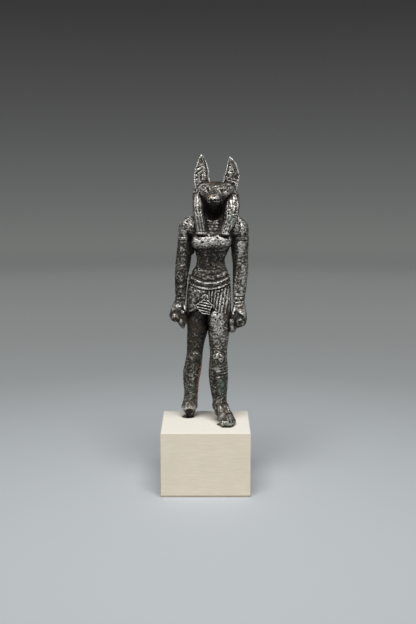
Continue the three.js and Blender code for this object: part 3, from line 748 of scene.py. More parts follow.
def ear(bronze, rows, inward):
    """An upright shell. inward says which way the middle of the head lies, where the rim stands out most."""
    numbers = smooth(rows)
    foot_height, tip = rows[0][0], rows[-1][0]
    table = np.array(rows)
    low = ((table[:, 1] - table[:, 2]).min(), 2.5, foot_height)
    high = ((table[:, 1] + table[:, 2]).max(), 8, tip)

    def shell(x, y, z):
        across, wide = numbers(z)
        reach = (x - across) / wide
        inner = np.clip(reach, -1, 1)
        wall = mix(*EAR_WALL, (z - foot_height) / (tip - foot_height))
        cup = EAR_BACK + EAR_CUP * wide * (1 - inner * inner)
        away = y - cup
        near, far = step(inner * inward, 0.70, 0.82), step(-inner * inward, 0.72, 0.86)
        gutter = notch(inner * inward - 0.58, 0.12)
        front = -away - wall * 0.85 - 0.4 * near - 0.12 * far + 0.25 * gutter
        back = away - wall
        slope = np.sqrt(1 + (2 * EAR_CUP * inner) ** 2)
        thick = np.maximum(front, back) / slope
        edge = (np.abs(reach) - 1) * wide
        return meet(shared(thick, edge, 0.5), foot_height - z, z - tip)

    bronze.add((low, high, shell), blend=0.4)


def ears(bronze):
    ear(bronze, LEFT_EAR, 1)
    ear(bronze, RIGHT_EAR, -1)
    bronze.cut(rod(*EAR_NOTCH, 0.5), blend=0.15)
    face_of_ear = EAR_BACK - 0.25
    for (ax, az), (bx, bz), thick in EAR_CUTS:
        bronze.cut(rod((ax, face_of_ear, az), (bx, face_of_ear, bz), thick + 0.2, thick), blend=0.15)


WIG_FADE = 126  # from this height up the hair fades out
LAPPET_FADE = 124
SLOTS = (((-4.6, -2.6, 103.2), (0.9, -2.8, 103.2)), ((7.6, -2.8, 103.5), (12, -2.4, 102.4)))


def wig(bronze):
    def strands(count, top, ends=None, deep=HAIR_DEPTH):
        """Hair that fades out at the top. ends is the height of a lappet's plain end."""
        def relief(x, y, z, turn):
            fade = 1 - step(z, top, top + 3.5)
            depth = deep * fade * ridges(turn * count, 2)
            if ends is None:
                return depth
            hair = step(z, ends + 1.1, ends + 1.5)
            return depth * hair + 0.3 * notch(z - ends - 1.3, 0.25) - 0.2 * (1 - hair)

        return relief

    bronze.add(upright(WIG, SQUARISH, strands(HAIR_STRANDS, WIG_FADE)), blend=0.3)
    for rows, count, deep in ((LEFT_LAPPET, 10, 0.22), (RIGHT_LAPPET, 12, 0.28)):
        bronze.add(upright(rows, SQUARISH, strands(count, LAPPET_FADE, rows[0][0], deep)), blend=0.2)
    for start, end in SLOTS:  # the gaps under the ends of the lappets
        bronze.cut(rod(start, end, 0.9), blend=0.1)


def sculpt():
    bronze = Bronze()
    torso(bronze)
    legs(bronze)
    arms(bronze)
    collar(bronze)
    kilt(bronze)
    apron(bronze)
    fists(bronze)
    wig(bronze)
    face(bronze)
    ears(bronze)
    tangs(bronze)
    return bronze


# Skin: the zero surface of the field

CORNERS = tuple(product((0, 1), repeat=3))  # of one cell
SQUARE = ((0, 0), (1, 0), (1, 1), (0, 1))


def skin(bronze):
    """The surface as points in shares and four-sided faces, with one point in each cell that it crosses."""
    field = bronze.field
    inside = field < 0
    cells = np.array(field.shape) - 1
    filled = np.zeros(cells, np.int8)
    for a, b, c in CORNERS:
        filled += inside[a:a + cells[0], b:b + cells[1], c:c + cells[2]]
    crossed = np.flatnonzero((filled > 0) & (filled < 8))
    i, j, k = np.unravel_index(crossed, cells)
    values = [field[i + a, j + b, k + c] for a, b, c in CORNERS]
    total, hits = np.zeros((len(crossed), 3)), np.zeros(len(crossed))
    for first in range(8):
        for bit in (1, 2, 4):
            second = first | bit
            if second == first:
                continue
            a, b = values[first], values[second]
            cross = (a < 0) != (b < 0)
            part = np.where(cross, a / np.where(cross, a - b, 1), 0)[:, None]
            start, end = np.array(CORNERS[first]), np.array(CORNERS[second])
            total += np.where(cross[:, None], start + part * (end - start), 0)
            hits += cross
    points = (np.stack((i, j, k), 1) + total / hits[:, None]) * PITCH + np.array(GRID_LOW)
    number = np.full(cells, -1, np.int32)
    number.reshape(-1)[crossed] = np.arange(len(crossed))
    faces = []
    for axis in range(3):
        order = (axis, (axis + 1) % 3, (axis + 2) % 3)
        turned, places = inside.transpose(order), number.transpose(order)
        change = turned[:-1, 1:-1, 1:-1] != turned[1:, 1:-1, 1:-1]
        a, b, c = np.nonzero(change)
        square = np.stack([places[a, b + m, c + n] for m, n in SQUARE], 1)
        leaving = turned[a, b + 1, c + 1]
        faces.append(np.where(leaving[:, None], square, square[:, ::-1]))
    return points, np.concatenate(faces)


def object_of(name, data):
    made = bpy.data.objects.new(name, data)
    bpy.context.scene.collection.objects.link(made)
    return made


def mesh_of(name, points, faces):
    mesh = bpy.data.meshes.new(name)
    mesh.vertices.add(len(points))
    mesh.vertices.foreach_set("co", np.asarray(points, np.float32).ravel())
    mesh.loops.add(faces.size)
    mesh.loops.foreach_set("vertex_index", faces.ravel().astype(np.int32))
    mesh.polygons.add(len(faces))
    mesh.polygons.foreach_set("loop_start", np.arange(0, faces.size, faces.shape[1], dtype=np.int32))
    mesh.update(calc_edges=True)
    mesh.shade_smooth()
    return object_of(name, mesh)


def metres(points):
    return points * SHARE + np.array((0, 0, BLOCK_TOP))


def shares(points):
    return (points - np.array((0, 0, BLOCK_TOP))) / SHARE


# Corrosion, wear, stains and painted light and shade, on the points of the skin

AROUND = tuple(product((-1, 0, 1), repeat=3))  # a cell and those that touch it
SPREAD = (374761393, 668265263, 2246822519, 3266489917)  # large odd numbers, for the place and the salt
STIR = ((13, 1274126177), (16, 2654435761))
LARGEST = 0xFFFFFF


def scatter(cells, salt):
    """A random number from 0 to 1 for each whole-number cell, always the same for the same cell."""
    a, b, c = (cells[..., n].astype(np.uint32) * np.uint32(SPREAD[n]) for n in range(3))
    mixed = a + b + c + np.uint32(salt * SPREAD[3] % 2 ** 32)
    for shift, factor in STIR:
        mixed = (mixed ^ (mixed >> np.uint32(shift))) * np.uint32(factor)
    return ((mixed ^ (mixed >> np.uint32(15))) & np.uint32(LARGEST)) / float(LARGEST)


def between(cell, part, value):
    """The value at a place within a cell, from the values at the cell's corners."""
    total = 0
    for corner in CORNERS:
        u, v, w = (part[:, n] if bit else 1 - part[:, n] for n, bit in enumerate(corner))
        total = total + u * v * w * value(cell + np.array(corner))
    return total


def lumps(points, size, salt):
    """Smooth noise from -1 to 1 whose lumps are about one size across."""
    places = points / size
    cell = np.floor(places).astype(np.int64)
    part = places - cell
    part = part * part * (3 - 2 * part)
    return between(cell, part, lambda near: scatter(near, salt)) * 2 - 1


def pits(points, size, least, most, chance, salt):
    """How deep a point lies in a pit, and how near to the rim of one, from 0 to 1."""
    cell = np.floor(points / size).astype(np.int64)
    nearest = np.full(len(points), 2.0)
    for offset in AROUND:
        near = cell + np.array(offset)
        middle = np.stack([near[:, n] + scatter(near, salt + n) for n in range(3)], 1) * size
        reach = mix(least, most, scatter(near, salt + 3) ** 2)
        there = scatter(near, salt + 4) < chance
        gap = np.linalg.norm(points - middle, axis=1) / reach
        nearest = np.where(there, np.minimum(nearest, gap), nearest)
    return step(1 - nearest, 0, 0.7), notch(nearest - 1.15, 0.22)


# Patches of the surface: middle, half sizes, how worn the bronze is there and how deeply it is eaten. A
# later patch lies over an earlier one. Where marked, the worn value is painted light: raised for a painted
# highlight, lowered for painted shade.
ELSEWHERE = (0.40, 0.7)
PATCHES = (
    ((3, 0, 91), (9, 8, 6), 0.18, 0.9),  # abdomen
    # the second belly patch and the one on the next line, at worn 0.6, are painted highlights on the folds
    ((3, -1, 82.5), (9, 6, 4), 0.12, 0.5), ((2.2, -1, 84.4), (3.2, 3, 1), 0.6, 0.3),  # belly
    ((10.8, 1, 82), (1.8, 4, 1.6), 0.6, 0.2),
    ((2.2, -2, 101.7), (9.5, 6, 4), 1.1, 0.9), ((11.5, 0, 100), (2.6, 5, 4), 0.5, 0.8),  # chest
    ((-10.5, 3, 108), (4.5, 8, 6), 0.6, 0.8), ((-6.8, 1, 108.5), (2.4, 5, 4), 0.4, 0.8),  # shoulders
    ((17, 3, 108), (4.5, 8, 6), 0.74, 1),
    ((-12, 4, 90), (5, 8, 11), 0.15, 1), ((-13.6, 4, 74), (5, 8, 8), -0.25, 1),  # arms
    ((18.5, 4, 94), (5.5, 8, 9), 0.4, 0.9), ((19, 4, 78), (5, 8, 9), 0.50, 0.9),
    ((-15, 0, 60), (6, 7, 8), 0, 0.25), ((17.5, 0, 59), (6, 7, 8), 0.1, 0.25),  # fists
    # fists: patches with eaten 0.1 are painted light, highlights where worn is 0.5 to 1, shade in the grips
    # and under the finger ends where it is below 0
    ((-16.4, -1.8, 58.3), (2.8, 2.2, 2.8), -0.25, 0.7),
    ((18.7, -1.8, 56.4), (3.3, 2.4, 3.3), -0.4, 1.2), ((-16.4, -2.2, 60.8), (1.8, 1.2, 0.5), -0.1, 0.4),
    ((-14.4, -2, 60), (0.6, 1.2, 0.8), 0.2, 0.3), ((-16, -2.6, 57.6), (2.6, 1.4, 1.6), -0.5, 0.9),
    ((-17, -1.6, 61.8), (1.5, 2.4, 0.9), -1, 0.1), ((-15, -1.6, 61.9), (1.7, 2.4, 0.9), -1, 0.1),
    ((-14.5, -0.8, 64.9), (2, 2.5, 0.9), 1, 0.1), ((-12.2, -1.5, 61.4), (1, 2.5, 1.6), 0.4, 0.6),
    ((-10.9, -0.5, 63.4), (0.8, 2.5, 1.8), 0.6, 0.1), ((-17.9, 1, 64.6), (1, 2.8, 3.4), 0.75, 0.1),
    ((-13.7, -1.5, 56.6), (0.9, 2, 1), 0.5, 0.1), ((-12.3, -1, 53.2), (1.2, 2.5, 1.2), -0.4, 0.1),
    ((17.6, 0.5, 65.4), (2.6, 3, 1.6), 0.3, 0.6), ((16.1, -1, 63.2), (1.7, 2, 0.9), 1, 0.1),
    ((18.1, -1, 62.2), (1.1, 2, 1.2), 1, 0.1), ((19.7, -0.8, 60.5), (1.2, 2, 1), 0.95, 0.1),
    ((16.5, -1.6, 61.4), (1.4, 2.4, 0.7), -1, 0.1), ((18.1, -1.6, 60.1), (1.2, 2.4, 0.7), -1, 0.1),
    ((19.8, -1.4, 58.8), (1.2, 2.4, 0.7), -1, 0.1), ((21, 1.5, 61), (0.9, 2.8, 4.8), 0.75, 0.1),
    ((14.3, -1, 60.3), (0.9, 2, 1.4), 0.45, 0.4), ((14.4, -1, 56.8), (1.4, 2.5, 2.2), 0.12, 1),
    ((14.5, -1.4, 53.1), (1, 2, 0.9), 0.7, 0.1), ((14.5, -1, 50.7), (1.9, 2.5, 0.7), -0.8, 0.1),
    ((-5, -1, 70), (8, 7, 7), 0.6, 0.9), ((9, -1, 69), (8, 7, 8), 0.85, 0.7),  # kilt
    ((4, -2, 77), (8, 6, 3.5), 0.38, 0.6), ((-7, 1, 78.5), (4.5, 6, 4), 0.12, 0.8),  # belt
    ((12, 1, 78.5), (3, 6, 4), 0.25, 0.8),
    ((-0.3, -3.5, 65.5), (5, 1.5, 4.5), 0.22, 0.4),  # apron
    # the rear thigh darker: painted shade under the kilt
    ((-5, 4, 46), (6.5, 8, 14), -0.1, 0.4),  # rear thigh
    ((7, 0, 52), (7, 8, 11), 0.5, 1), ((6.6, -3, 57), (4, 3, 7), 1, 1),  # front thigh
    ((7, 0, 36), (6.5, 8, 6), 0.40, 1),  # front knee
    ((8, 0, 20), (6.5, 8, 10), 0.14, 0.9), ((-8, 6, 22), (6.5, 9, 11), 0.24, 0.8),  # shins
    ((-9, 8, 8), (6.5, 9, 3.5), 0.55, 0.4),
    ((11, -5, 5), (8, 10, 6), 0.40, 0.5), ((7.3, -4, 11.2), (1.6, 4, 3), 0.34, 0.2),  # foot
    # the bright band on the instep (worn 0.72) is a painted highlight
    ((10.9, -3.5, 8.4), (2.2, 4, 3.4), 0.72, 0.4), ((8.5, -1, 12.6), (3.5, 3, 1.6), 0.45, 0.5),
    ((12, -13.4, 2.2), (4.8, 1.6, 0.8), -0.1, 0.3), ((10.6, -12.4, 3.6), (3.4, 2, 1.2), 0.12, 0.4),
    # the second patch here darkens the foot's left side: painted shade
    ((13.6, -12.9, 3.5), (0.75, 1.2, 0.75), -1.4, 0.1), ((5.9, -4, 5), (0.9, 6, 3), 0, 0.5),
    ((5, -3, 128.5), (7, 6, 4), 0.47, 0.5), ((5, -1, 131.2), (8, 5, 1.4), 0.1, 0.3),  # forehead
    # the second patch darkens the muzzle below the nose: painted shade
    ((4, -7, 123.5), (5, 5, 3), 0.42, 0.7), ((3.9, -10, 121.7), (3.4, 4, 1.4), -0.15, 0.7),  # muzzle
    ((8.6, -6, 122.2), (2.6, 5, 2.4), 0.15, 0.9),
    ((-2, 3.5, 136), (6, 3, 11), 0.72, 0.3), ((13.5, 3.5, 136), (6, 3, 11), 0.64, 0.5),  # ears
    ((-3.7, -2.5, 113), (3.6, 4, 12), 0.66, 0.15),  # lappets
    ((-4.2, -2.5, 120), (3, 4, 4.5), 0.34, 0.3), ((12.6, -2.5, 112), (4.6, 4, 12), 0.68, 1.5),
    ((4, -1, 107.5), (3.6, 4, 4.5), 0.42, 0.5),  # collar
    # throat and jaw darkened: painted shade under the muzzle
    ((4.6, 1, 117), (6, 6, 5.5), -0.6, 0.2),  # throat
    ((3.8, -6, 120.2), (5, 6.5, 1.9), -0.4, 0.3),  # jaw
    # painted shade on the inner sides of the arms, next to the body
    ((-8.4, 2, 92), (2.2, 8, 13), -0.35, 0.4),  # the inner sides of the arms
    ((15, 2, 91), (1.9, 8, 14), -0.3, 0.4),
    # painted highlights down the right arm
    ((19.3, 1, 97), (2, 4, 3.4), 1, 0.3),  # bright strips down the right arm
    ((20.4, 1, 82), (1.8, 4, 6), 0.8, 0.6),
    ((-2.2, 4, 143), (3, 4, 4), 0.75, 0.05), ((13.2, 4, 142), (3, 4, 4), 0.7, 0.05),  # ear tips
    ((-9, 9, 2.6), (5, 5, 3), -0.3, 0.6),  # stump
)


def apart(points, place, half):
    """How far each point lies from the middle of a patch, with 1 on the patch's edge."""
    return np.linalg.norm((points - place) / np.array(half), axis=1)


def patches(points):
    """How worn and how deeply eaten the bronze is at each point; worn also holds some patches' painted
    light.
    """
    found = np.tile(np.array(ELSEWHERE), (len(points), 1))
    for place, half, worn, eaten in PATCHES:
        weight = 1 - step(apart(points, place, half), 0.8, 1.2)
        found = mix(found, np.array((worn, eaten)), weight[:, None])
    return found[:, 0], found[:, 1]


# Pits: spacing, smallest and largest radius, depth and salt
PITS = ((1.6, 0.35, 0.8, 0.5, 21), (0.9, 0.22, 0.48, 0.3, 41))
# Single craters that the photo shows: middle and radius
CRATERS = (
    ((-10, 1, 110.4), 0.75), ((-7.6, 1, 111.5), 0.5), ((17.1, 1, 109.4), 0.55),
    ((18.2, 0.5, 105.6), 0.5), ((5.3, -2.6, 57.7), 0.7), ((4, -3.2, 61.8), 0.6),
    ((11.6, -1.5, 128.5), 0.6), ((12.7, -0.5, 126.2), 0.55), ((6.7, -2.2, 39.6), 0.6),
    ((-9.8, 3.5, 30), 0.5), ((-9.8, 6, 28.5), 0.4), ((-5.8, -3, 88.6), 0.6),
)


def figure_points(mesh):
    """The points of the skin in shares, and the directions that they face."""
    flat = np.empty(len(mesh.vertices) * 3, np.float32)
    mesh.vertices.foreach_get("co", flat)
    points = shares(flat.reshape(-1, 3).astype(float))
    mesh.vertex_normals.foreach_get("vector", flat)
    return points, flat.reshape(-1, 3).astype(float)


def corrode(piece):
    """Moves each point of the skin in or out by the lumps, pits and craters. The tangs stay plain."""
    mesh = piece.data
    points, normals = figure_points(mesh)
    eaten = patches(points)[1]
    above = step(points[:, 2], 0.3, 1.5)
    chance = (0.2 + 0.5 * eaten) * (0.6 + 0.4 * lumps(points, 7, 11))
    lift = 0.08 * lumps(points, 4.5, 1)
    lift = lift + eaten * (0.09 * lumps(points, 1.9, 2) + 0.10 * lumps(points, 0.95, 3))
    for size, least, most, deep, salt in PITS:
        hole, rim = pits(points, size, least, most, chance, salt)
        lift = lift - deep * hole + 0.12 * deep * rim
    for place, reach in CRATERS:
        gap = np.linalg.norm((points - place) * (1, 0.4, 1), axis=1) / reach
        lift = lift - 0.9 * step(1 - gap, 0, 0.7) + 0.1 * notch(gap - 1.2, 0.25)
    moved = points + normals * (lift * above)[:, None]
    mesh.vertices.foreach_set("co", metres(moved).astype(np.float32).ravel())
    mesh.update()


def lighten(piece):
    """Fewer triangles where the surface is plain."""
    triangles = sum(len(face.vertices) - 2 for face in piece.data.polygons)
    fewer = piece.modifiers.new("fewer", "DECIMATE")
    fewer.ratio = MOST_TRIANGLES / triangles
    fewer.use_collapse_triangulate = True
    fitted = piece.evaluated_get(bpy.context.evaluated_depsgraph_get())
    mesh = bpy.data.meshes.new_from_object(fitted)
    piece.modifiers.clear()
    piece.data = mesh
    mesh.shade_smooth()


def blurred(field, half, axis):
    """A field averaged along one axis over half a window each way."""
    room = [(half + 1, half) if n == axis else (0, 0) for n in range(3)]
    total = np.cumsum(np.pad(field, room, mode="edge"), axis)
    size, window = field.shape[axis], 2 * half + 1
    return (np.take(total, range(window, window + size), axis) - np.take(total, range(size), axis)) / window


def crowding(bronze, points, reach):
    """How much metal is round each point: about half on a plain place, more in a hollow, less on a ridge."""
    coarse = 2
    metal = (bronze.field[::coarse, ::coarse, ::coarse] < 0).astype(np.float32)
    half = round(reach / (2 * coarse * PITCH))
    for turn in range(2):
        for axis in range(3):
            metal = blurred(metal, half, axis)
    places = (points - np.array(GRID_LOW)) / (coarse * PITCH)
    cell = np.clip(np.floor(places).astype(int), 0, np.array(metal.shape) - 2)
    part = np.clip(places - cell, 0, 1)
    return between(cell, part, lambda near: metal[tuple(near.T)])


def relief_of(piece, rounds):
    """How far each point stands above its own surroundings, in shares, or lies below them."""
    mesh = piece.data
    count = len(mesh.vertices)
    points, normals = figure_points(mesh)
    pairs = np.empty(len(mesh.edges) * 2, np.int32)
    mesh.edges.foreach_get("vertices", pairs)
    a, b = pairs.reshape(-1, 2).T
    links = np.bincount(a, minlength=count) + np.bincount(b, minlength=count)

    def eased(values):
        total = np.bincount(a, values[b], count) + np.bincount(b, values[a], count)
        return total / np.maximum(links, 1)

    soft = points.copy()
    for turn in range(rounds):
        soft = np.stack([0.5 * soft[:, n] + 0.5 * eased(soft[:, n]) for n in range(3)], 1)
    return ((points - soft) * normals).sum(1)


PALE_GREEN = (0.20, 0.27, 0.20)
DEEP_GREEN = (0.045, 0.075, 0.05)
COPPER = (0.24, 0.10, 0.055)
GOLD = (0.75, 0.45, 0.14)
EARTH_AND_SHADE = (0.028, 0.019, 0.012)

# Stains: colour, middle, half sizes and strength. The brown on the left cheek is painted shade.
STAINS = (
    (DEEP_GREEN, (9, 0, 21), (3.5, 6, 6), 0.8),
    (PALE_GREEN, (9.4, -2, 21.5), (1.2, 2, 1.3), 0.7),
    (DEEP_GREEN, (-6.5, 6, 15), (3, 6, 6), 0.6),
    (PALE_GREEN, (-2.6, 5, 35.6), (0.6, 3, 0.7), 0.9),
    (PALE_GREEN, (11.4, -13, 2.3), (3.6, 1.8, 0.7), 0.85),
    (PALE_GREEN, (12.2, -11.2, 4.2), (0.9, 1.4, 0.9), 0.9),
    (PALE_GREEN, (13.5, -3, 112), (2.2, 4, 4), 0.35),
    (PALE_GREEN, (8.2, -3, 17), (0.8, 2, 0.9), 0.7),
    (PALE_GREEN, (-9.6, 4, 17), (0.9, 3, 1.2), 0.6),
    (PALE_GREEN, (-7.2, 4, 21), (0.7, 3, 0.8), 0.5),
    (COPPER, (-2.6, -3.8, 104.2), (2.6, 1.5, 0.7), 0.5),
    (COPPER, (10.4, -3.8, 103.6), (2.6, 1.5, 0.7), 0.3),
    (COPPER, (0.8, 0, 131.2), (6, 4, 0.8), 0.15),
    # the left cheek browned and darkened: painted shade on the side of the muzzle
    (EARTH_AND_SHADE, (-1, -1.5, 122.5), (2.4, 5, 3.6), 0.7),
    (EARTH_AND_SHADE, (-9, 9, 3), (5, 5, 3), 0.85),
    (EARTH_AND_SHADE, (-5.5, 7, 13), (1.8, 4, 8), 0.35),
    (GOLD, (3, -10.3, 124.4), (0.95, 1, 0.5), 1),
    (COPPER, (2.8, -10.3, 123.5), (0.9, 1, 0.5), 0.9),
)
RED = (0.90, 0.14, 0.04)
RED_HEIGHTS = (9, 11.5, 30, 33)  # where the line begins and ends, each over a short fade
RED_TURN = (-0.28, 0.24)  # its place round the leg and its half width, in radians
RED_REACH = 8  # how far right of the rear leg it may reach, which keeps it off the other leg


def stains(points):
    """The colour of the stain at each point and how strong it is."""
    colour, strength = np.zeros((len(points), 3)), np.zeros(len(points))

    def lay(tint, weight):
        nonlocal colour, strength
        colour = mix(colour, np.array(tint), (weight / np.maximum(weight + strength, 1e-6))[:, None])
        strength = np.maximum(strength, weight)

    for tint, place, half, most in STAINS:
        lay(tint, most * (1 - step(apart(points, place, half), 0.6, 1.15)))
    x, y, z = points.T
    leg = smooth(REAR_LEG)(z)
    turn = turn_round(x, y, leg)
    a, b, c, d = RED_HEIGHTS
    line = notch(turn - RED_TURN[0], RED_TURN[1]) * step(z, a, b) * (1 - step(z, c, d))
    lay(RED, line * (x < leg[0] + RED_REACH))
    return colour, strength


MEASURES = ("worn", "eaten", "hollow", "stained")  # what the skin tells the finish at each point


def wear(piece, bronze):
    """Writes how worn, how sunken (for painted shade) and how stained each point is, for the finish."""
    mesh = piece.data
    points, _ = figure_points(mesh)
    fine, broad = relief_of(piece, 3), relief_of(piece, 14)
    near, wide, far = (crowding(bronze, points, reach) for reach in (1.4, 4.5, 9.0))
    worn, eaten = patches(points)
    worn = worn + np.clip(6.0 * fine, -0.9, 0.6) + 0.9 * broad
    # crowded places, between parts and near the body, are darkened as painted shade; open ridges are lighter
    # as wear
    worn = worn + 1.8 * (0.5 - near) - 0.9 * step(far, 0.38, 0.62)
    # hollow marks where painted shade goes: close between parts, deep in recesses and along fine creases
    hollow = np.maximum.reduce([step(near, 0.55, 0.72), step(wide, 0.60, 0.80), step(-fine, 0.05, 0.16)])
    tint, strength = stains(points)

    def write(name, kind, key, values):
        values = values.astype(np.float32).ravel()
        mesh.attributes.new(name, kind, "POINT").data.foreach_set(key, values)

    for name, values in zip(MEASURES, (worn, eaten, hollow, strength)):
        write(name, "FLOAT", "value", values)
    write("stain", "FLOAT_COLOR", "color", np.column_stack((tint, np.ones(len(points)))))


# Finishes

class Nodes:
    """A short way to lay out a material's nodes. A value is a number, a colour or another node's output."""

    def __init__(self, name):
        self.material = bpy.data.materials.new(name)
        self.material.use_nodes = True
        self.tree = self.material.node_tree
        self.shader = self.tree.nodes["Principled BSDF"]

    def feed(self, socket, value):
        if isinstance(value, bpy.types.NodeSocket):
            self.tree.links.new(value, socket)
        else:
            socket.default_value = value

    def node(self, kind, values=None, **settings):
        made = self.tree.nodes.new(kind)
        for key, value in settings.items():
            setattr(made, key, value)
        for key, value in (values or {}).items():
            self.feed(made.inputs[key], value)
        return made

    def math(self, operation, a, b=0.0):
        return self.node("ShaderNodeMath", {0: a, 1: b}, operation=operation).outputs[0]

    def times(self, a, b):
        return self.math("MULTIPLY", a, b)

    def plus(self, a, b):
        return self.math("ADD", a, b)

    def moved(self, place, by):
        return self.node("ShaderNodeVectorMath", {0: place, 1: by}, operation="ADD").outputs[0]

    def stretched(self, place, scale):
        return self.node("ShaderNodeMapping", {"Vector": place, "Scale": scale}).outputs[0]

    def place(self):
        return self.node("ShaderNodeTexCoord").outputs["Object"]

    def parts(self, place):
        """The three numbers of a place."""
        return self.node("ShaderNodeSeparateXYZ", {0: place}).outputs

    def attribute(self, name, output="Fac"):
        return self.node("ShaderNodeAttribute", attribute_name=name).outputs[output]

    def bump(self, height, strength, distance):
        values = {"Strength": strength, "Distance": distance, "Height": height}
        return self.node("ShaderNodeBump", values).outputs["Normal"]

    def ramp(self, value, low, high, to_low=0.0, to_high=1.0, kind="SMOOTHSTEP"):
        ends = {"Value": value, "From Min": low, "From Max": high, "To Min": to_low, "To Max": to_high}
        return self.node("ShaderNodeMapRange", ends, interpolation_type=kind).outputs["Result"]

    def colours(self, value, stops):
        """The colour at a value from 0 to 1 between stops."""
        made = self.node("ShaderNodeValToRGB", {"Fac": value})
        elements = made.color_ramp.elements
        while len(elements) < len(stops):
            elements.new(0.5)
        for element, (spot, colour) in zip(elements, stops):
            element.position = spot
            element.color = (*colour, 1)
        return made.outputs["Color"]

    def blend(self, part, a, b):
        """One colour where part is 0 and the other where it is 1."""
        a, b = ((*value, 1) if isinstance(value, tuple) else value for value in (a, b))
        return self.node("ShaderNodeMix", {"Factor": part, 6: a, 7: b}, data_type="RGBA").outputs[2]

    def noise(self, place, size, detail=3.0):
        """Noise whose lumps are about one size across, in metres."""
        values = {"Vector": place, "Scale": 1 / size, "Detail": detail, "Roughness": 0.6}
        return self.node("ShaderNodeTexNoise", values).outputs["Fac"]

    def holes(self, place, size):
        """Small round spots, one in every other cell of a size in metres."""
        cells = self.node("ShaderNodeTexVoronoi", {"Vector": place, "Scale": 1 / size}).outputs
        chosen = self.ramp(self.node("ShaderNodeSeparateColor", {0: cells["Color"]}).outputs[0], 0.5, 0.55)
        return self.times(chosen, self.ramp(cells["Distance"], 0.30, 0.18))

    def set(self, **sockets):
        for key, value in sockets.items():
            self.feed(self.shader.inputs[key.replace("_", " ")], value)


TONE_REACH = (-0.1, 1.3)  # from the darkest patina to the barest metal
TONES = (
    (0, (0.012, 0.010, 0.0075)),
    (0.25, (0.034, 0.029, 0.022)),
    (0.50, (0.115, 0.105, 0.088)),
    (0.72, (0.27, 0.256, 0.232)),
    (1, (0.62, 0.60, 0.57)),
)


BROWN = (0.050, 0.036, 0.022)
HOLE = (0.012, 0.010, 0.008)
SHADE = (0.007, 0.006, 0.005)  # painted shade laid into the hollows
HOLES = ((0.0022, 0), (0.0013, 0.3), (0.0009, 0.7))  # spacing and shift of each layer of dark holes


def bronze_finish():
    n = Nodes("bronze")
    place = n.place()
    worn, eaten, hollow, stained = (n.attribute(name) for name in MEASURES)

    grain = n.noise(n.stretched(place, (0.8, 0.8, 1.25)), 0.0011)
    mottle = n.noise(place, 0.0026)
    patch = n.noise(place, 0.008, detail=2)
    speckle = n.times(n.math("SUBTRACT", grain, 0.5), 4.6)
    speckle = n.times(speckle, n.ramp(eaten, 0.0, 0.9, 0.45, 1.0))
    coarse = n.times(n.math("SUBTRACT", mottle, 0.5), 0.8)
    shown = n.plus(worn, n.plus(speckle, coarse))
    shown = n.ramp(shown, *TONE_REACH, kind="LINEAR")
    colour = n.colours(shown, TONES)
    brown = n.times(n.ramp(patch, 0.50, 0.66), n.ramp(shown, 0.5, 0.2))
    colour = n.blend(brown, colour, BROWN)
    for size, shift in HOLES:
        hole = n.holes(n.moved(place, (shift, 0, 0)), size)
        colour = n.blend(n.times(hole, n.ramp(eaten, 0.05, 0.7, 0.0, 0.95)), colour, HOLE)
    # painted shade: hollows, creases and the gaps between parts darkened almost to black
    colour = n.blend(n.times(hollow, 0.9), colour, SHADE)
    spread = n.times(stained, n.ramp(n.noise(place, 0.0014, detail=4), 0.36, 0.56))
    colour = n.blend(spread, colour, n.attribute("stain", "Color"))

    rough = n.ramp(shown, 0.2, 0.8, 0.48, 0.34)
    bare = n.math("SUBTRACT", 1.0, n.math("MAXIMUM", spread, hollow))
    metal = n.times(n.ramp(shown, 0.2, 0.8, 0.1, 0.8), bare)
    relief = n.plus(n.times(grain, 0.6), n.times(n.noise(place, 0.0003), 0.25))
    bump = n.bump(relief, 1.0, 0.0008)
    n.set(Base_Color=colour, Roughness=rough, Metallic=metal, Specular_IOR_Level=0.3, Normal=bump)
    return n.material


# Paint of the block: its sides between two creams, clouds, its top in a cooler cream as painted sheen, and a
# brown band along its foot
CREAMS = ((0.81, 0.72, 0.575), (0.87, 0.77, 0.625))
CLOUD_CREAM = (0.79, 0.70, 0.54)
TOP_SHEEN_CREAM = (0.77, 0.73, 0.65)
TOP_OF_PAINT = (BLOCK_TOP - 0.0004, BLOCK_TOP - 0.0001)
FOOT_BROWN = (0.36, 0.27, 0.17)
FOOT_OF_PAINT = (0.0016, 0.0003)


def paint_finish():
    n = Nodes("cream_paint")
    place = n.place()
    height = n.parts(place)["Z"]
    brush = n.noise(n.stretched(place, (0.25, 0.25, 3.0)), 0.0016, detail=4)
    cloud = n.noise(place, 0.012, detail=2)
    cream = n.blend(n.ramp(brush, 0.35, 0.65), *CREAMS)
    cream = n.blend(n.times(n.ramp(cloud, 0.4, 0.7), 0.35), cream, CLOUD_CREAM)
    # painted sheen: the top face in a cooler, greyer cream than the sides, for the light on it
    cream = n.blend(n.ramp(height, *TOP_OF_PAINT), cream, TOP_SHEEN_CREAM)
    # a darker brown along the foot of the block
    cream = n.blend(n.times(n.ramp(height, *FOOT_OF_PAINT), 0.7), cream, FOOT_BROWN)
    n.set(Base_Color=cream, Roughness=0.62, Normal=n.bump(brush, 0.25, 0.0002))
    return n.material


# Figure and block

def figure():
    bronze = sculpt()
    points, faces = skin(bronze)
    piece = mesh_of("figure_bronze", metres(points), faces)
    corrode(piece)
    lighten(piece)
    wear(piece, bronze)
    piece.data.materials.append(bronze_finish())
    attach(piece, "root")
    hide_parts("anubis_figure")


def block():
    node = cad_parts["mount_block"]
    node.data.materials.clear()
    node.data.materials.append(paint_finish())


# Studio

FLOOR_RADIUS = 1.0
FLOOR_RINGS = 20
SWEEP_RADIUS = 0.5
SWEEP_RINGS = 15
WALL_HEIGHT = 1.3
SPOKES = 96
BACKDROP_REACH = 2.6  # the distance in metres that counts as 1 in the tones below
